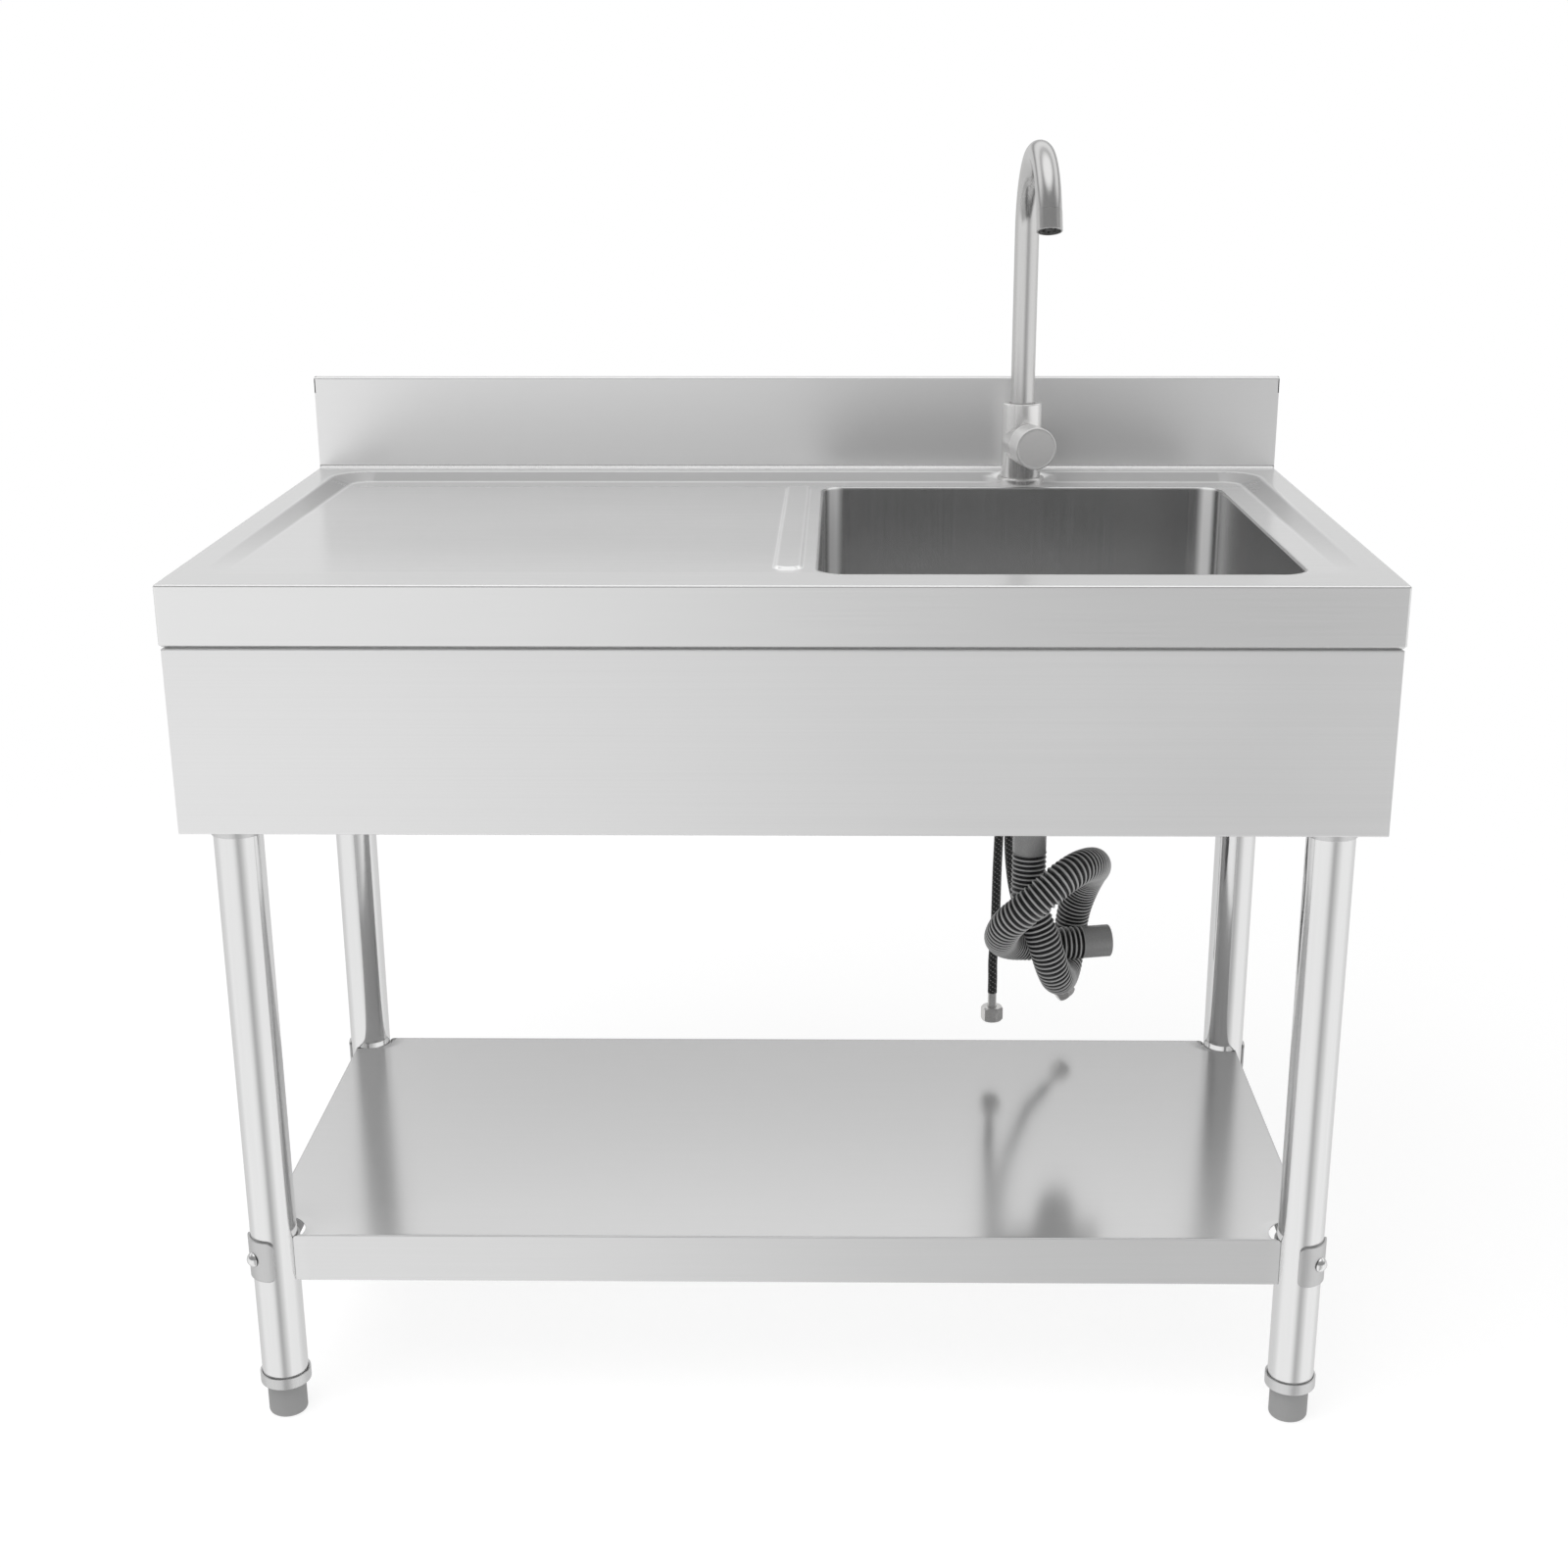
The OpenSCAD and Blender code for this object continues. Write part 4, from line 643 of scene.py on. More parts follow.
def painted_sheet_light(x, y):
    """Minus one where a slope gets full painted shade, up to a half where a bend gets a painted highlight.
    The slope is the length of the height's gradient, taken over h to both sides, and the bend is the
    sum of the four heights around less four times the height itself."""
    h, full_bend, full_slope, round_tap = 1.2, 0.14, 0.34, 34
    east, west = sheet_height(x + h, y), sheet_height(x - h, y)
    north, south = sheet_height(x, y + h), sheet_height(x, y - h)
    slope = np.hypot(east - west, north - south) / (2 * h)
    bright_bend = np.clip(abs(east + west + north + south - 4 * sheet_height(x, y)) / full_bend, 0, 1)
    near_tap = np.hypot(x - TAP[0], y - TAP[1]) < round_tap
    return np.where(near_tap, 0, 0.5 * bright_bend - np.clip(slope / full_slope, 0, 1) * (1 - bright_bend))

print("floor of the drainboard", sheet_height(-225, np.array([-240.0, 240.0])).round(2), "mm")

# %% [markdown]
# The deck is a grid whose lines lie close together at every bend. Around the bowl its squares are
# left out, and a ring of faces leads from the square edge of that gap to the bowl's round outline.

# %% Plan of the deck
def bowl_edge(x, y, grow):
    """The nearest point of the bowl's outline, grown by a distance, to a point of the plan."""
    r = np.where(y < (BOWL[2] + BOWL[3]) / 2, BOWL_FRONT_R, BOWL_BACK_R)
    cx, cy = np.clip(x, BOWL[0] + r, BOWL[1] - r), np.clip(y, BOWL[2] + r, BOWL[3] - r)
    far = np.maximum(np.hypot(x - cx, y - cy), 1e-9)
    return cx + (x - cx) / far * (r + grow), cy + (y - cy) / far * (r + grow)

xs = lines((-498, -480, 6), (-480, -450, 1.5), (-450, -430, 2.5), (-430, -10, 12), (-10, -3, 1),
    (-3, 12, 3), (12, 19, 1), (19, 22, 1.5), (22, 58, 3), (58, 210, 9), (210, 253, 3),
    (253, 400, 9), (400, 436, 3), (436, 480, 1.5), (480, 498, 6))
ys = lines((-304, -267, 4), (-267, -259, 2), (-259, -249, 0.75), (-249, -225, 2), (-225, -200, 5),
    (-200, 185, 11), (185, 224, 2), (224, 276, 1.5), (276, 291, 3))
X0, X1, Y0, Y1 = 22, 436, -267, 224
print("deck grid", len(xs), "x", len(ys))

# %% Deck
gx, gy = np.meshgrid(xs, ys)
deck_points, deck_faces = flipped(grid(np.stack([gx, gy, sheet_height(gx, gy)], -1)))
middle = deck_points[deck_faces].mean(1)
hole = (middle[:, 0] > X0) & (middle[:, 0] < X1) & (middle[:, 1] > Y0) & (middle[:, 1] < Y1)
hole |= np.hypot(middle[:, 0] - TAP[0], middle[:, 1] - TAP[1]) < 17
deck = (deck_points, deck_faces[~hole])
hx, hy = xs[(xs > X0 - 0.1) & (xs < X1 + 0.1)], ys[(ys > Y0 - 0.1) & (ys < Y1 + 0.1)]
ring_x = np.concatenate([hx[:-1], 0 * hy[:-1] + X1, hx[:0:-1], 0 * hy[:0:-1] + X0])
ring_y = np.concatenate([0 * hx[:-1] + Y0, hy[:-1], 0 * hx[:0:-1] + Y1, hy[:0:-1]])
COLLAR = 2.2
near_x, near_y = bowl_edge(ring_x, ring_y, COLLAR)
share = np.linspace(0, 1, 5)[:, None]
cx, cy = ring_x + (near_x - ring_x) * share, ring_y + (near_y - ring_y) * share
around_bowl = flipped(grid(np.stack([cx, cy, sheet_height(cx, cy)], -1), close_columns=True))
print("deck", len(deck[1]), "faces, bowl ring", len(ring_x))

# %% [markdown]
# The rim is a section swept along the sheet's left, front and right edges. It turns with the edge
# at the two front corners, where the line stays in place and only the outward direction turns.

# %% Rim
def swept(profile, along, outward):
    """A profile of (distance outward, height) at each place of a line in the plan."""
    p = np.asarray(profile, float)
    xy = along[None] + p[:, None, :1] * outward[None]
    z = np.broadcast_to(p[:, None, 1:], xy.shape[:2] + (1,))
    return np.concatenate([xy, z], -1)

rim_profile = rounded([(0, TOP), (2, TOP), (2, RIM_LOW), (-4, RIM_LOW)], (0, 2, 1.5, 0), 6)[2:]
rim_profile[0] = (0, TOP)
bend = np.linspace(0, math.pi / 2, 7)[1:-1, None]
down, right = np.array([0, -1.0]), np.array([1.0, 0])
left_line = np.stack([0 * ys - FLAT_X, ys], 1)[::-1]
front_line = np.stack([xs, 0 * xs + FLAT_FRONT], 1)
right_line = np.stack([0 * ys + FLAT_X, ys], 1)
line = np.vstack([left_line, front_line[:1].repeat(5, 0), front_line, front_line[-1:].repeat(5, 0),
    right_line])
out = np.vstack([np.tile(-right, (len(ys), 1)), -np.cos(bend) * right + np.sin(bend) * down,
    np.tile(down, (len(xs), 1)), np.sin(bend) * right + np.cos(bend) * down, np.tile(right, (len(ys), 1))])
rim = grid(swept(rim_profile, line, out))
left_end, right_end = [grid(swept(rim_profile, np.array([[s * FLAT_X, FLAT_BACK + 0.01],
    [s * FLAT_X, SPLASH + 1]]), np.array([[s, 0.0]] * 2))) for s in (-1, 1)]
print("rim section has", len(rim_profile), "points")

# %% [markdown]
# The backsplash is the same sheet, bent up, back and down again. Its section is carried along x.
# At both ends its foot sinks by the rim's radius, so that it meets the rounded edge.

# %% Backsplash
def along_x(x, section):
    """A cross-section of (depth y, height z), each of its points as a row at the places x."""
    return grid(np.stack([x, section[:, :1] + 0 * x, section[:, 1:] + 0 * x], -1))

back_profile = rounded([(SPLASH + 1, 783), (SPLASH + 1, RIM_LOW), (SPLASH - 5, RIM_LOW)], (0, 1.5, 0))
back_rim = along_x([HALF, -HALF] + 0 * back_profile[:, :1], back_profile)
edge = np.linspace(0, math.pi / 2, 7)[1:]
splash_x = np.concatenate([-FLAT_X - 2 * np.sin(edge)[::-1], xs, FLAT_X + 2 * np.sin(edge)])
sink = np.concatenate([2 - 2 * np.cos(edge)[::-1], 0 * xs, 2 - 2 * np.cos(edge)])
splash_profile = rounded([(290, TOP), (SPLASH, TOP), (SPLASH, SPLASH_TOP), (BACK, SPLASH_TOP), (BACK, LIP_LOW)],
    (0, 3, 2, 2, 0), 6)[2:]
splash_profile[0] = (FLAT_BACK, TOP)
splash_y = splash_profile[:, :1] + 0 * splash_x
splash_z = splash_profile[:, 1:] - sink * np.clip((783 - splash_profile[:, 1:]) / 3, 0, 1)
splash = flipped(grid(np.stack([splash_x + 0 * splash_y, splash_y, splash_z], -1)))
print("backsplash", len(splash[1]), "faces")

# %% [markdown]
# The worktop's object has three finishes. Its faces are told apart by where their middles lie.

# %% Worktop
def places(items, what):
    """The places of a mesh's faces or points in millimetres, as rows of x, y and z."""
    flat = np.empty(len(items) * 3, np.float32)
    items.foreach_get(what, flat)
    return flat.reshape(-1, 3).T / MM

surfaces = [deck, around_bowl, rim, flipped(left_end), right_end, back_rim, splash]
worktop = make_object("pressed_worktop", joined(surfaces), "frame", "worktop", "sheet_steel", wall=1,
    sharp=50)
sheet = worktop.data
sheet.materials.append(MATERIALS["splash_steel"])
sheet.materials.append(MATERIALS["deck_steel"])
mx, my, mz = places(sheet.polygons, "center")
on_deck = (abs(mx) < FLAT_X) & (my > FLAT_FRONT) & (my < FLAT_BACK) & (mz > 769)
finish = np.where(mz > 783.2, 1, np.where(on_deck, 2, 0))
sheet.polygons.foreach_set("material_index", finish.astype(np.int32))
# Painted shade on the slopes and painted highlights on the bends, one number per point.
marks = painted_sheet_light(*places(sheet.vertices, "co")[:2])
sheet.attributes.new("slope_shade_bend_highlight", "FLOAT", "POINT").data.foreach_set("value", marks.astype(np.float32))
print("faces of each finish", np.bincount(finish))

# %% [markdown]
# The top fold of the backsplash makes a narrow box that is open at both ends. Two small caps close
# it. They are a piece of their own, so that their corners stay sharp.

# %% Ends of the backsplash
cap_yz = [(SPLASH, LIP_LOW), (SPLASH, SPLASH_TOP - 2), (BACK, LIP_LOW), (BACK, SPLASH_TOP - 2),
    (SPLASH + 2, SPLASH_TOP), (BACK - 2, SPLASH_TOP)]
left_cap, right_cap = [(np.array([(x, *yz) for yz in cap_yz]), np.array([(0, 2, 3, 1), (1, 3, 5, 4)]))
    for x in (0.02 - HALF, HALF - 0.02)]
make_object("splash_ends", joined([flipped(left_cap), right_cap]), "frame", slot="sheet_steel", wall=1)

# %% [markdown]
# ## The bowl
# The bowl is drawn from its own sheet and welded under the deck. Its edge rolls over from the
# deck into the wall, the wall goes straight down, and a wide bend leads into the bottom, which
# falls slightly towards the waste. It is made of rings that all have the columns of the deck's own
# ring, so that no gap can open between the two.

# %% Bowl
BEND_R, BEND_Z, SUMP_R = 18, 613, 61

def bowl_rings():
    """Rings from the collar down the wall, round the bend and over the bottom to the sump. On the
    bottom the outline p turns into a circle c about the waste: p + (c - p) t."""
    top = sheet_height(*bowl_edge(ring_x, ring_y, COLLAR))
    rings = []
    for k in np.linspace(0, math.pi / 2, 8):
        x, y = bowl_edge(ring_x, ring_y, COLLAR - COLLAR * math.sin(k))
        rings.append(np.stack([x, y, top + 0.02 - COLLAR * (1 - math.cos(k))], -1))
    for z in (774, 768, 750, 700, 650, 618, 614):
        x, y = bowl_edge(ring_x, ring_y, 0)
        if z < rings[-1][:, 2].min() - 1:
            rings.append(np.stack([x, y, z + 0 * x], -1))
    for k in np.linspace(0, math.pi / 2, 11):
        x, y = bowl_edge(ring_x, ring_y, -BEND_R * (1 - math.cos(k)))
        rings.append(np.stack([x, y, BEND_Z - BEND_R * math.sin(k) + 0 * x], -1))
    x0, y0 = rings[-1][:, 0], rings[-1][:, 1]
    angle = np.arctan2(y0 - WASTE[1], x0 - WASTE[0])
    for t, r, z in ((0.06, SUMP_R, 594.9), (0.3, SUMP_R, 594.6), (0.6, SUMP_R, 594.2),
            (0.9, SUMP_R, 593.9), (1, SUMP_R, 593.8), (1, 59.5, 593.6), (1, 57.5, 592.3), (1, 56, 592),
            (1, 43.3, 592)):
        x, y = WASTE[0] + r * np.cos(angle), WASTE[1] + r * np.sin(angle)
        rings.append(np.stack([x0 + (x - x0) * t, y0 + (y - y0) * t, z + 0 * x], -1))
    return np.stack(rings)

flange = np.stack([np.stack(bowl_edge(ring_x, ring_y, g), -1) for g in (7.9, COLLAR + 0.2)])
flange = np.dstack([flange, sheet_height(flange[..., 0], flange[..., 1]) - 1.03])
make_object("drawn_bowl", joined([flipped(grid(bowl_rings(), close_columns=True)),
    flipped(grid(flange, close_columns=True))]), "frame", "bowl", "sheet_steel",
    finish="bowl_steel", wall=1, sharp=60)

# %% [markdown]
# ## Folded panels
# The skirt panels and the shelf are sheets folded on a press brake. Each is one cross-section with
# a small bend at every corner, carried along a straight line. A bevelled box would have round edges
# too, but not the open back of the real panel. Where the real panel's fold is cut back at its ends,
# the ends of those rows are drawn in.

# %% Skirt
def folded(section, bends, half, trims=None, steps=5):
    """A cross-section of (depth, height) carried along x from -half to half, its rows drawn in by trims.
    It is made seen from its front, which looks along -y."""
    p = rounded(section, bends, steps)
    reach = np.full(len(p), half) if trims is None else half - trims(p)
    return flipped(along_x(reach[:, None] * np.linspace(-1, 1, 5), p))

skirt_section = [(12, 570.5), (0, 570.5), (0, 727.5), (6, 727.5), (6, 778.9)]
skirt_bends = (0, 1.5, 1.2, 0.3, 0)

def skirt_trim(cut_back):
    """Draws in the rows that are folded back from the panel's face."""
    return lambda p: np.where((p[:, 0] > 0.8) | (p[:, 1] > 727.4), cut_back, 0)

for name, half, cut_back, at, turn in (
        ("skirt_front", 498.5, 1.1, (0, -304.5, 0), 0), ("skirt_rear", 498.5, 1.1, (0, 293.5, 0), 180),
        ("skirt_left", 298, 11.3, (-498.5, -5.5, 0), -90), ("skirt_right", 298, 11.3, (498.5, -5.5, 0), 90)):
    panel = placed(folded(skirt_section, skirt_bends, half, skirt_trim(cut_back)), at, rotation("Z", turn))
    make_object("folded_" + name, panel, "frame", name, "skirt_steel", wall=1, sharp=50)

# %% [markdown]
# The shelf's plate is cut out round each leg, and its four lips reach the legs' surface below the
# notches. All rows go across at the same shares of their width, so that plate and lips share points.

# %% Shelf
SHELF_TOP, SHELF_LOW, SHELF_X, SHELF_FRONT, SHELF_REAR = 184, 138, 470, -274.5, 168
LEG_X, LEG_FRONT, LEG_REAR = 460, -266, 166
NOTCH, HUG, FOLD = 28, 20.95, 1.5
MIDDLE = (LEG_FRONT + LEG_REAR) / 2

def notch(cy, start, end, n=24):
    """Points of the round notch about a right-hand leg, from one angle to another."""
    a = np.radians(np.linspace(start, end, n))
    return np.stack([LEG_X + NOTCH * np.cos(a), cy + NOTCH * np.sin(a)], 1)

def angle_at(depth):
    """The angle at which the notch reaches a depth beyond the leg's axis."""
    return math.degrees(math.asin(depth / NOTCH))

front_notch = np.vstack([notch(LEG_FRONT, 180 + angle_at(LEG_FRONT - SHELF_FRONT - FOLD), 90),
    [(SHELF_X - FOLD, LEG_FRONT + NOTCH + 0.3)]])
rear_notch = np.vstack([[(SHELF_X - FOLD, LEG_REAR - NOTCH - 0.3)],
    notch(LEG_REAR, -90, -180 - angle_at(SHELF_REAR - FOLD - LEG_REAR))])
side_reach = MIDDLE - front_notch[-1, 1]
ACROSS = np.array([-1, -0.97, -0.5, 0, 0.5, 0.97, 1])
side_line = np.stack([0 * ACROSS + front_notch[-1, 0], MIDDLE + side_reach * ACROSS], 1)[1:-1]
edge_line = np.vstack([front_notch, side_line, rear_notch])
plate = grid(np.dstack([ACROSS[:, None] * edge_line[:, 0], 0 * ACROSS[:, None] + edge_line[:, 1],
    np.full((len(ACROSS), len(edge_line)), float(SHELF_TOP))]))
print("shelf plate", len(plate[1]), "faces")

# %% Lips of the shelf
lip_section = [(3, SHELF_TOP), (0, SHELF_TOP), (0, SHELF_LOW), (12, SHELF_LOW)]

def lip(reach_top, reach_low):
    """A lip of the shelf with its upper corners rounded. The top row meets the plate's own edge."""
    p = rounded(lip_section, (0, FOLD, FOLD, 0), 5)[2:]
    p = np.vstack([p[:6], [(0, SHELF_TOP - 2), (0, SHELF_TOP - 2.8), (0, SHELF_TOP - 3.8)], p[7:]])
    drop = np.clip((SHELF_TOP - p[:, 1]) / 4, 0, 1)
    half = reach_top + (reach_low - reach_top) * np.sqrt(1 - (1 - drop) ** 2)
    return along_x(half[:, None] * ACROSS, p)

front_lip = lip(front_notch[0, 0], LEG_X - math.sqrt(HUG**2 - (LEG_FRONT - SHELF_FRONT) ** 2))
rear_lip = lip(rear_notch[-1, 0], LEG_X - math.sqrt(HUG**2 - (SHELF_REAR - LEG_REAR) ** 2))
side_lip = lip(side_reach, MIDDLE - LEG_FRONT - math.sqrt(HUG**2 - (SHELF_X - LEG_X) ** 2))
lips = [placed(front_lip, (0, SHELF_FRONT, 0)), placed(rear_lip, (0, SHELF_REAR, 0), rotation("Z", 180)),
    placed(side_lip, (SHELF_X, MIDDLE, 0), rotation("Z", 90)),
    placed(side_lip, (-SHELF_X, MIDDLE, 0), rotation("Z", -90))]
make_object("folded_shelf", joined([plate, *lips]), "frame", "undershelf", "sheet_steel",
    finish="shelf_steel", wall=1, sharp=50)

# %% [markdown]
# ## Legs, sockets and feet
# The legs are drawn tubes. Each stands in a sleeve under the worktop, ends in a thin metal cup
# and rests on a plastic foot that screws in and out. Cylinders could be stacked for them, but one
# turned profile gives the wall, the taper and every broken edge at once.

# %% Turned pieces of the legs
LEGS = {"front_left": (-LEG_X, LEG_FRONT, 225), "front_right": (LEG_X, LEG_FRONT, 315),
    "rear_left": (-LEG_X, LEG_REAR, 135), "rear_right": (LEG_X, LEG_REAR, 45)}
leg_profile = rounded([(19.45, 35.8), (20.65, 35.8), (20.65, 722.4), (19.45, 722.4), (19.45, 35.8)],
    (0, 0.3, 0.3, 0, 0), 3)
socket_profile = rounded([(20.95, 722.7), (20.95, 561), (22.35, 561), (25.45, 581), (25.45, 722.7)],
    (0, 0.2, 0.5, 3, 0), 4)
cup_profile = rounded([(20.95, 35.6), (20.95, 43.5), (22.75, 43.5), (22.75, 32.5), (17.8, 32.5), (17.8, 35.5)][::-1],
    (0, 0, 1, 0.3, 0.3, 0), 4)
foot_profile = rounded([(0, 0), (17.4, 0), (17.4, 66.5), (0, 66.5)], (0, 4, 0.8, 0), 8)
CORNERS = np.array([(-1, -1), (1, -1), (1, 1), (-1, 1)])
plate_box = np.array([(x, y, z) for z in (722.7, 725.7) for x, y in 30 * CORNERS])
box_faces = np.array([(3, 2, 1, 0), (4, 5, 6, 7), (0, 1, 5, 4), (1, 2, 6, 5), (2, 3, 7, 6), (3, 0, 4, 7)])
for name, (x, y, facing) in LEGS.items():
    at = (x, y, 0)
    make_object("tube_leg_" + name, revolved(leg_profile, 128, at), "frame", "leg_" + name, "leg_tube")
    make_object("sleeve_" + name, placed(joined([revolved(socket_profile, 128), (plate_box, box_faces)]), at),
        "frame", "socket_" + name, "socket_steel")
    make_object("plastic_foot_" + name, revolved(foot_profile, 96, at), "foot_" + name,
        "foot_" + name, "foot_plastic")
cups = [revolved(cup_profile, 96, (x, y, 0)) for x, y, facing in LEGS.values()]
make_object("leg_end_cups", joined(cups), "frame", "leg_cups", "socket_steel")

# %% [markdown]
# ## Shelf clamps
# A curved plate with rounded corners wraps the outside of each leg, and a domed bolt through leg
# and shelf pulls it tight. The plate's points are laid on the leg's own cylinder, which fits closer
# than a flat plate that a modifier bends.

# %% Clamp plates
BOLT_Z = 163

def clamp_plate(r=22.95, half_w=19.25, half_h=19.5, corner=5):
    """Rounded rectangles shrinking to the middle, laid on the cylinder x = sqrt(r^2 - y^2)."""
    box = rounded(CORNERS * (half_w, half_h), corner, 6, 0, True)
    fine = []
    for a, b in zip(box, np.roll(box, -1, 0)):
        n = max(1, int(np.linalg.norm(b - a) / 2.5))
        fine.append(a + (b - a) * np.linspace(0, 1, n, endpoint=False)[:, None])
    loop = np.concatenate(fine)
    rings = np.stack([loop * k for k in (1, 0.97, 0.9, 0.8, 0.65, 0.5, 0.35, 0.2, 0.1, 0)])
    x = np.sqrt(r**2 - rings[..., 0] ** 2)
    return flipped(grid(np.dstack([x, rings[..., 0], rings[..., 1]]), close_columns=True))

print("clamp plate", len(clamp_plate()[1]), "faces")

# %% Domed bolts
HEAD_R, HEAD_H, HEAD_AT, STUD_AT = 7, 5, 23.05, -31.0
dome_r = (HEAD_H**2 + HEAD_R**2) / (2 * HEAD_H)
dome_angle = np.linspace(math.acos((dome_r - HEAD_H) / dome_r), 0, 12)
dome = np.vstack([[(0, 0), (HEAD_R - 0.05, 0)],
    np.stack([dome_r * np.sin(dome_angle), dome_r * np.cos(dome_angle) - dome_r + HEAD_H], 1)])
stud = rounded([(0, 0), (3, 0), (3, 54.2), (0, 54.2)], (0, 0.5, 0, 0), 3)
bolts = []
for name, (x, y, facing) in LEGS.items():
    turn = rotation("Z", facing)
    make_object("curved_clamp_" + name, placed(clamp_plate(), (x, y, BOLT_Z), turn), "frame",
        "clamp_" + name, "clamp_steel", wall=2)
    bolts += [placed(part, (x, y, BOLT_Z), turn @ rotation("Y", 90))
        for part in (revolved(dome, 48, (0, 0, HEAD_AT)), revolved(stud, 32, (0, 0, STUD_AT)))]
make_object("domed_bolts", joined(bolts), "frame", "clamp_bolts", "fastener_steel")

# %% [markdown]
# ## The tap
# The tap is turned from bar and tube. A flange sits on the worktop, the body stands on it with a
# short branch to one side for the control, and the spout tube turns in the body's top. The spout is
# a straight riser and a bow: a circle in the upright plane that the direction ahead gives.

# %% Tap flange and body
KNOB_Z, TAP_Z, TAP_TOP = 813.35, 778.85, 853.35
flange_profile = rounded([(16.1, SEAT_Z), (24, SEAT_Z), (24, TAP_Z), (16.1, TAP_Z)], (0, 0.2, 1.8, 0), 6)
make_object("round_flange", revolved(flange_profile, 96, (*TAP, 0)), "frame", "tap_flange", "tap_steel")

upright = rounded([(16, TAP_Z), (20, TAP_Z), (20, TAP_TOP), (13.3, TAP_TOP), (13.3, 838.4)],
    (0, 0.5, 1.2, 0.6, 0), 5)
branch = rounded([(10, 5), (21, 5), (21, 23.7), (15.3, 23.7), (15.3, 12)], (0, 0, 0.6, 0.4, 0), 5)
control_turn = rotation("Z", 13.5) @ rotation("X", 90)
at_knob = (*TAP, KNOB_Z)
make_object("turned_body", joined([revolved(upright, 128, (*TAP, 0)),
    revolved(branch, 128, at_knob, control_turn)]), "frame", "tap_body", "tap_steel")

# %% Control
knob = rounded([(0, 46), (18.5, 46), (18.5, 24), (21, 24), (21, 50), (19.4, 50.0), (18.7, 49.7), (0, 49.7)],
    (0, 0, 0, 0.4, 1.1, 0.3, 0.3, 0), 6)
make_object("round_control", revolved(knob, 128, at_knob, control_turn), "control", "tap_control",
    "tap_steel", finish="control_steel")

# %% Spout
SPOUT_R, SPOUT_BORE, SPOUT_SIDES, SPOUT_YAW = 12, 10.8, 64, math.radians(3.2)
BOW, BOW_Z, SWEEP = 76, 1021, math.radians(160)
side = np.array([math.cos(SPOUT_YAW), math.sin(SPOUT_YAW), 0])
ahead = np.array([math.sin(SPOUT_YAW), -math.cos(SPOUT_YAW), 0])
a = np.linspace(0, SWEEP, 81)[:, None]
bow = np.array([*TAP, BOW_Z]) + BOW * ((1 - np.cos(a)) * ahead + np.sin(a) * np.array([0, 0, 1]))
spout_line = np.vstack([[(*TAP, z) for z in np.linspace(838.65, BOW_Z, 7)[:-1]], bow])
inner = flipped(tube(spout_line, SPOUT_BORE, SPOUT_SIDES, (1, 0, 0)))
outer = tube(spout_line, SPOUT_R, SPOUT_SIDES, (1, 0, 0))
make_object("bent_spout", pipe(outer, inner, SPOUT_SIDES), "spout", "tap_spout", "tap_steel",
    finish="spout_steel")
mouth = bow[-1]
out_way = math.sin(SWEEP) * ahead + math.cos(SWEEP) * np.array([0, 0, 1])
mouth_turn = np.stack([side, np.cross(out_way, side), out_way], 1)
sleeve_profile = rounded([(10.8, 19.1), (10.8, 0.1), (12.3, 0.1), (12.3, 19.1), (10.8, 19.1)], (0, 0, 0.25, 0.5, 0), 4)
make_object("mouth_sleeve", revolved(sleeve_profile, 96, mouth, mouth_turn), "spout",
    "spout_sleeve", "tap_steel", finish="spout_steel")

# %% [markdown]
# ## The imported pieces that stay
# Screws, plugs, rails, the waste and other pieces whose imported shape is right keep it. They only
# get the finish of their material slot.

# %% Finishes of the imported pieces
slot_of = {part["node"]: part["material_slot"] for part in frame["record"]["subparts"]}
for name, piece in frame["nodes"].items():
    if piece.data.materials:
        piece.data.materials[0] = MATERIALS[slot_of[name]]
    else:
        piece.data.materials.append(MATERIALS[slot_of[name]])
print("finished", len(slot_of), "packed pieces")

# %% [markdown]
# ## Floor, light and background
# The photo is cut out on white, and its steel was lit in a studio: bright walls to the left, the
# right and behind, a dark room on the camera's side, and a lamp overhead. Polished metal is only
# as good as what it mirrors, so the world shows reflections that studio, and plain white to the
# camera. One large soft lamp lights what isn't metal and makes the shadow. The floor keeps that
# shadow, fades out before its edge shows, and is left out of reflections.

# %% Stage
floor_mesh = bpy.data.meshes.new("floor")
floor_mesh.from_pydata([(-4, -4, 0), (4, -4, 0), (4, 4, 0), (-4, 4, 0)], [], [(0, 1, 2, 3)])
floor = added("floor", floor_mesh)
tree, paint = new_material("pale_floor")
floor_mesh.materials.append(MATERIALS["pale_floor"])
paint.inputs["Base Color"].default_value = (0.3, 0.3, 0.3, 1)
paint.inputs["Roughness"].default_value = 0.9
paint.inputs["Specular IOR Level"].default_value = 0
paint.inputs["Emission Color"].default_value = (1, 1, 1, 1)
paint.inputs["Emission Strength"].default_value = 0.8
clear = node(tree, "ShaderNodeBsdfTransparent").outputs[0]
reach = node(tree, "ShaderNodeVectorMath", {"operation": "LENGTH"}, i0=object_place(tree)).outputs["Value"]
path = node(tree, "ShaderNodeLightPath")
hidden = math_node(tree, "MAXIMUM", path.outputs["Is Glossy Ray"], soft_step(tree, reach, 1.0, 2.4))
mixed = node(tree, "ShaderNodeMixShader", i0=hidden, i1=paint.outputs[0], i2=clear).outputs[0]
feed(tree.nodes["Material Output"], Surface=mixed)
print("floor of", round(floor.dimensions.x), "m")

# %% [markdown]
# The studio is painted by direction, without any walls. One ramp of greys goes round the horizon,
# and a second one goes up the side behind the sink, which the worktop and the tap mirror.

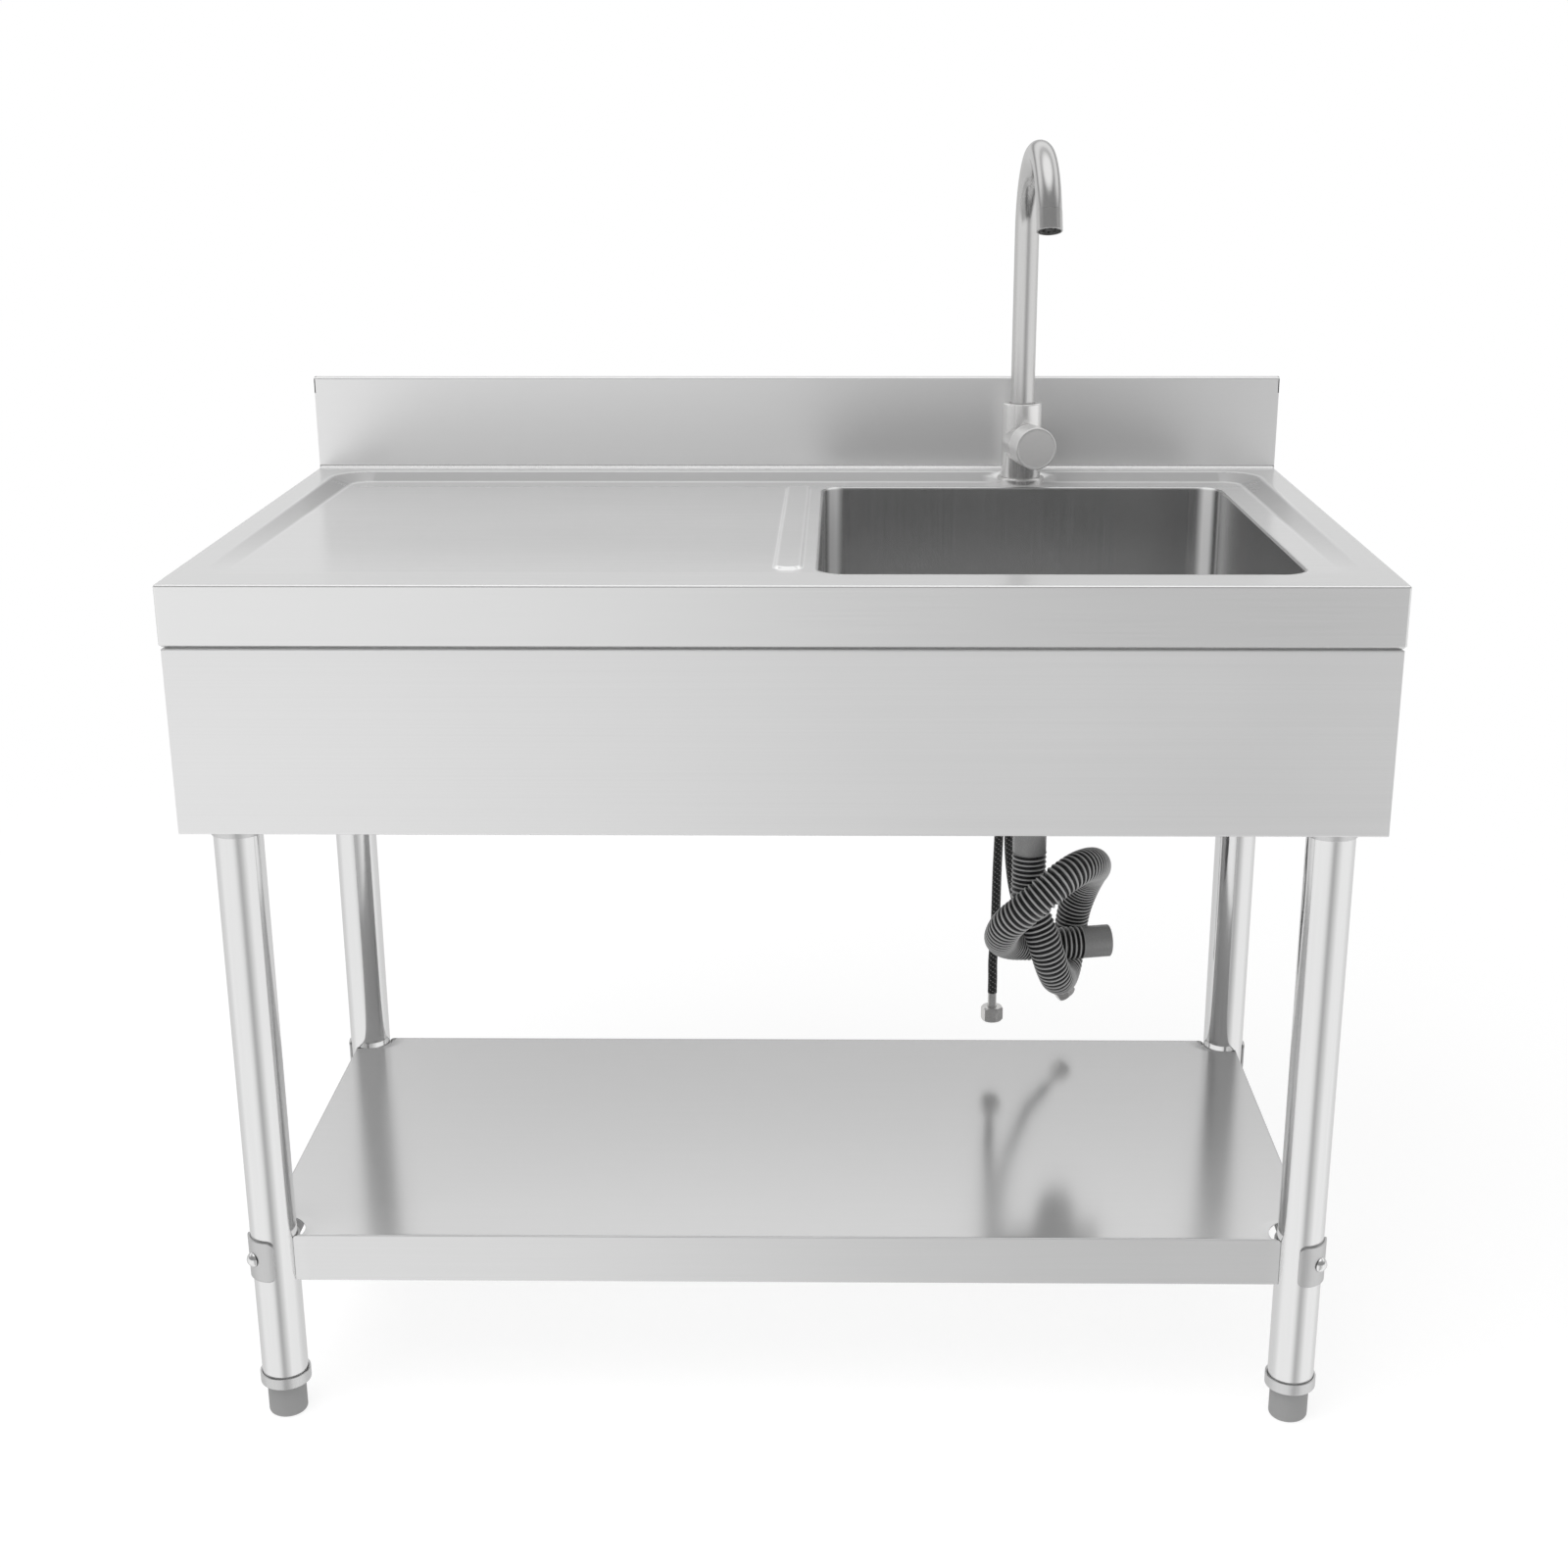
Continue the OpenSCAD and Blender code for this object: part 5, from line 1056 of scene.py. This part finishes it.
# %% Studio
world = bpy.data.worlds.new("studio")
bpy.context.scene.world = world
world.use_nodes = True
tree = world.node_tree
way = node(tree, "ShaderNodeSeparateXYZ", i0=node(tree, "ShaderNodeTexCoord").outputs["Generated"])
right_way, back_way, up_way = way.outputs
front_way = math_node(tree, "MULTIPLY", back_way, -1.0)
around_turn = math_node(tree, "MULTIPLY_ADD", math_node(tree, "ARCTAN2", right_way, front_way), 0.5 / math.pi, 0.5)

def grey_ramp(tree, value, stops):
    """A smooth ramp of greys through the stops (place, level)."""
    ramp = node(tree, "ShaderNodeValToRGB", i0=value)
    ramp.color_ramp.interpolation = "B_SPLINE"
    while len(ramp.color_ramp.elements) < len(stops):
        ramp.color_ramp.elements.new(0.5)
    for stop, (at, level) in zip(ramp.color_ramp.elements, stops):
        stop.position, stop.color = at, (level, level, level, 1)
    return ramp.outputs[0]

walls = grey_ramp(tree, around_turn, ((0, 0.7), (0.2, 0.75), (0.3, 1.1), (0.36, 1.15), (0.44, 1.0),
    (0.485, 0.88), (0.52, 0.42), (0.56, 0.60), (0.62, 0.95), (0.68, 1.2), (0.74, 1.1), (0.82, 0.8), (1, 0.7)))
behind = grey_ramp(tree, up_way, ((0, 0.78), (0.19, 0.78), (0.225, 0.6), (0.26, 0.28), (0.32, 0.3),
    (0.39, 0.85), (0.48, 0.95), (0.56, 1.3), (0.66, 1.2), (0.74, 0.55), (0.84, 0.6), (0.92, 1.3), (1, 1.3)))
upper = node(tree, "ShaderNodeMix", i0=soft_step(tree, front_way, -0.25, 0.45), i2=behind, i3=0.3).outputs[0]
upper = math_node(tree, "MAXIMUM", upper, soft_step(tree, up_way, 0.75, 0.95, 0.0, 1.25))
shown = node(tree, "ShaderNodeMix", i0=soft_step(tree, up_way, 0.02, 0.14), i2=walls, i3=upper).outputs[0]
print("walls of the studio", len(tree.nodes), "nodes")

# %% World
path = node(tree, "ShaderNodeLightPath")
mirrored = node(tree, "ShaderNodeBackground", i0=shown, i1=1.0).outputs[0]
room = node(tree, "ShaderNodeBackground", i0=(1, 1, 1, 1), i1=0.55).outputs[0]
white = node(tree, "ShaderNodeBackground", i0=(1, 1, 1, 1), i1=1.0).outputs[0]
lit = node(tree, "ShaderNodeMixShader", i0=path.outputs["Is Glossy Ray"], i1=room, i2=mirrored).outputs[0]
direct = math_node(tree, "MAXIMUM", path.outputs["Is Camera Ray"], path.outputs["Is Transmission Ray"])
mixed = node(tree, "ShaderNodeMixShader", i0=direct, i1=lit, i2=white).outputs[0]
feed(tree.nodes["World Output"], Surface=mixed)
print("studio", len(tree.nodes), "nodes")

# %% Lamp
lamp = added("soft_lamp", bpy.data.lights.new("soft_lamp", "AREA"))
lamp.data.size = 2.4
lamp.data.energy = 46
lamp.location = (-0.9, -1.3, 3.0)
lamp.rotation_euler = (Vector((0, 0, 0.5)) - lamp.location).to_track_quat("-Z", "Y").to_euler()
lamp.visible_glossy = False
bpy.context.scene.view_settings.view_transform = "Standard"
print("lamp at", [round(v, 2) for v in lamp.location])
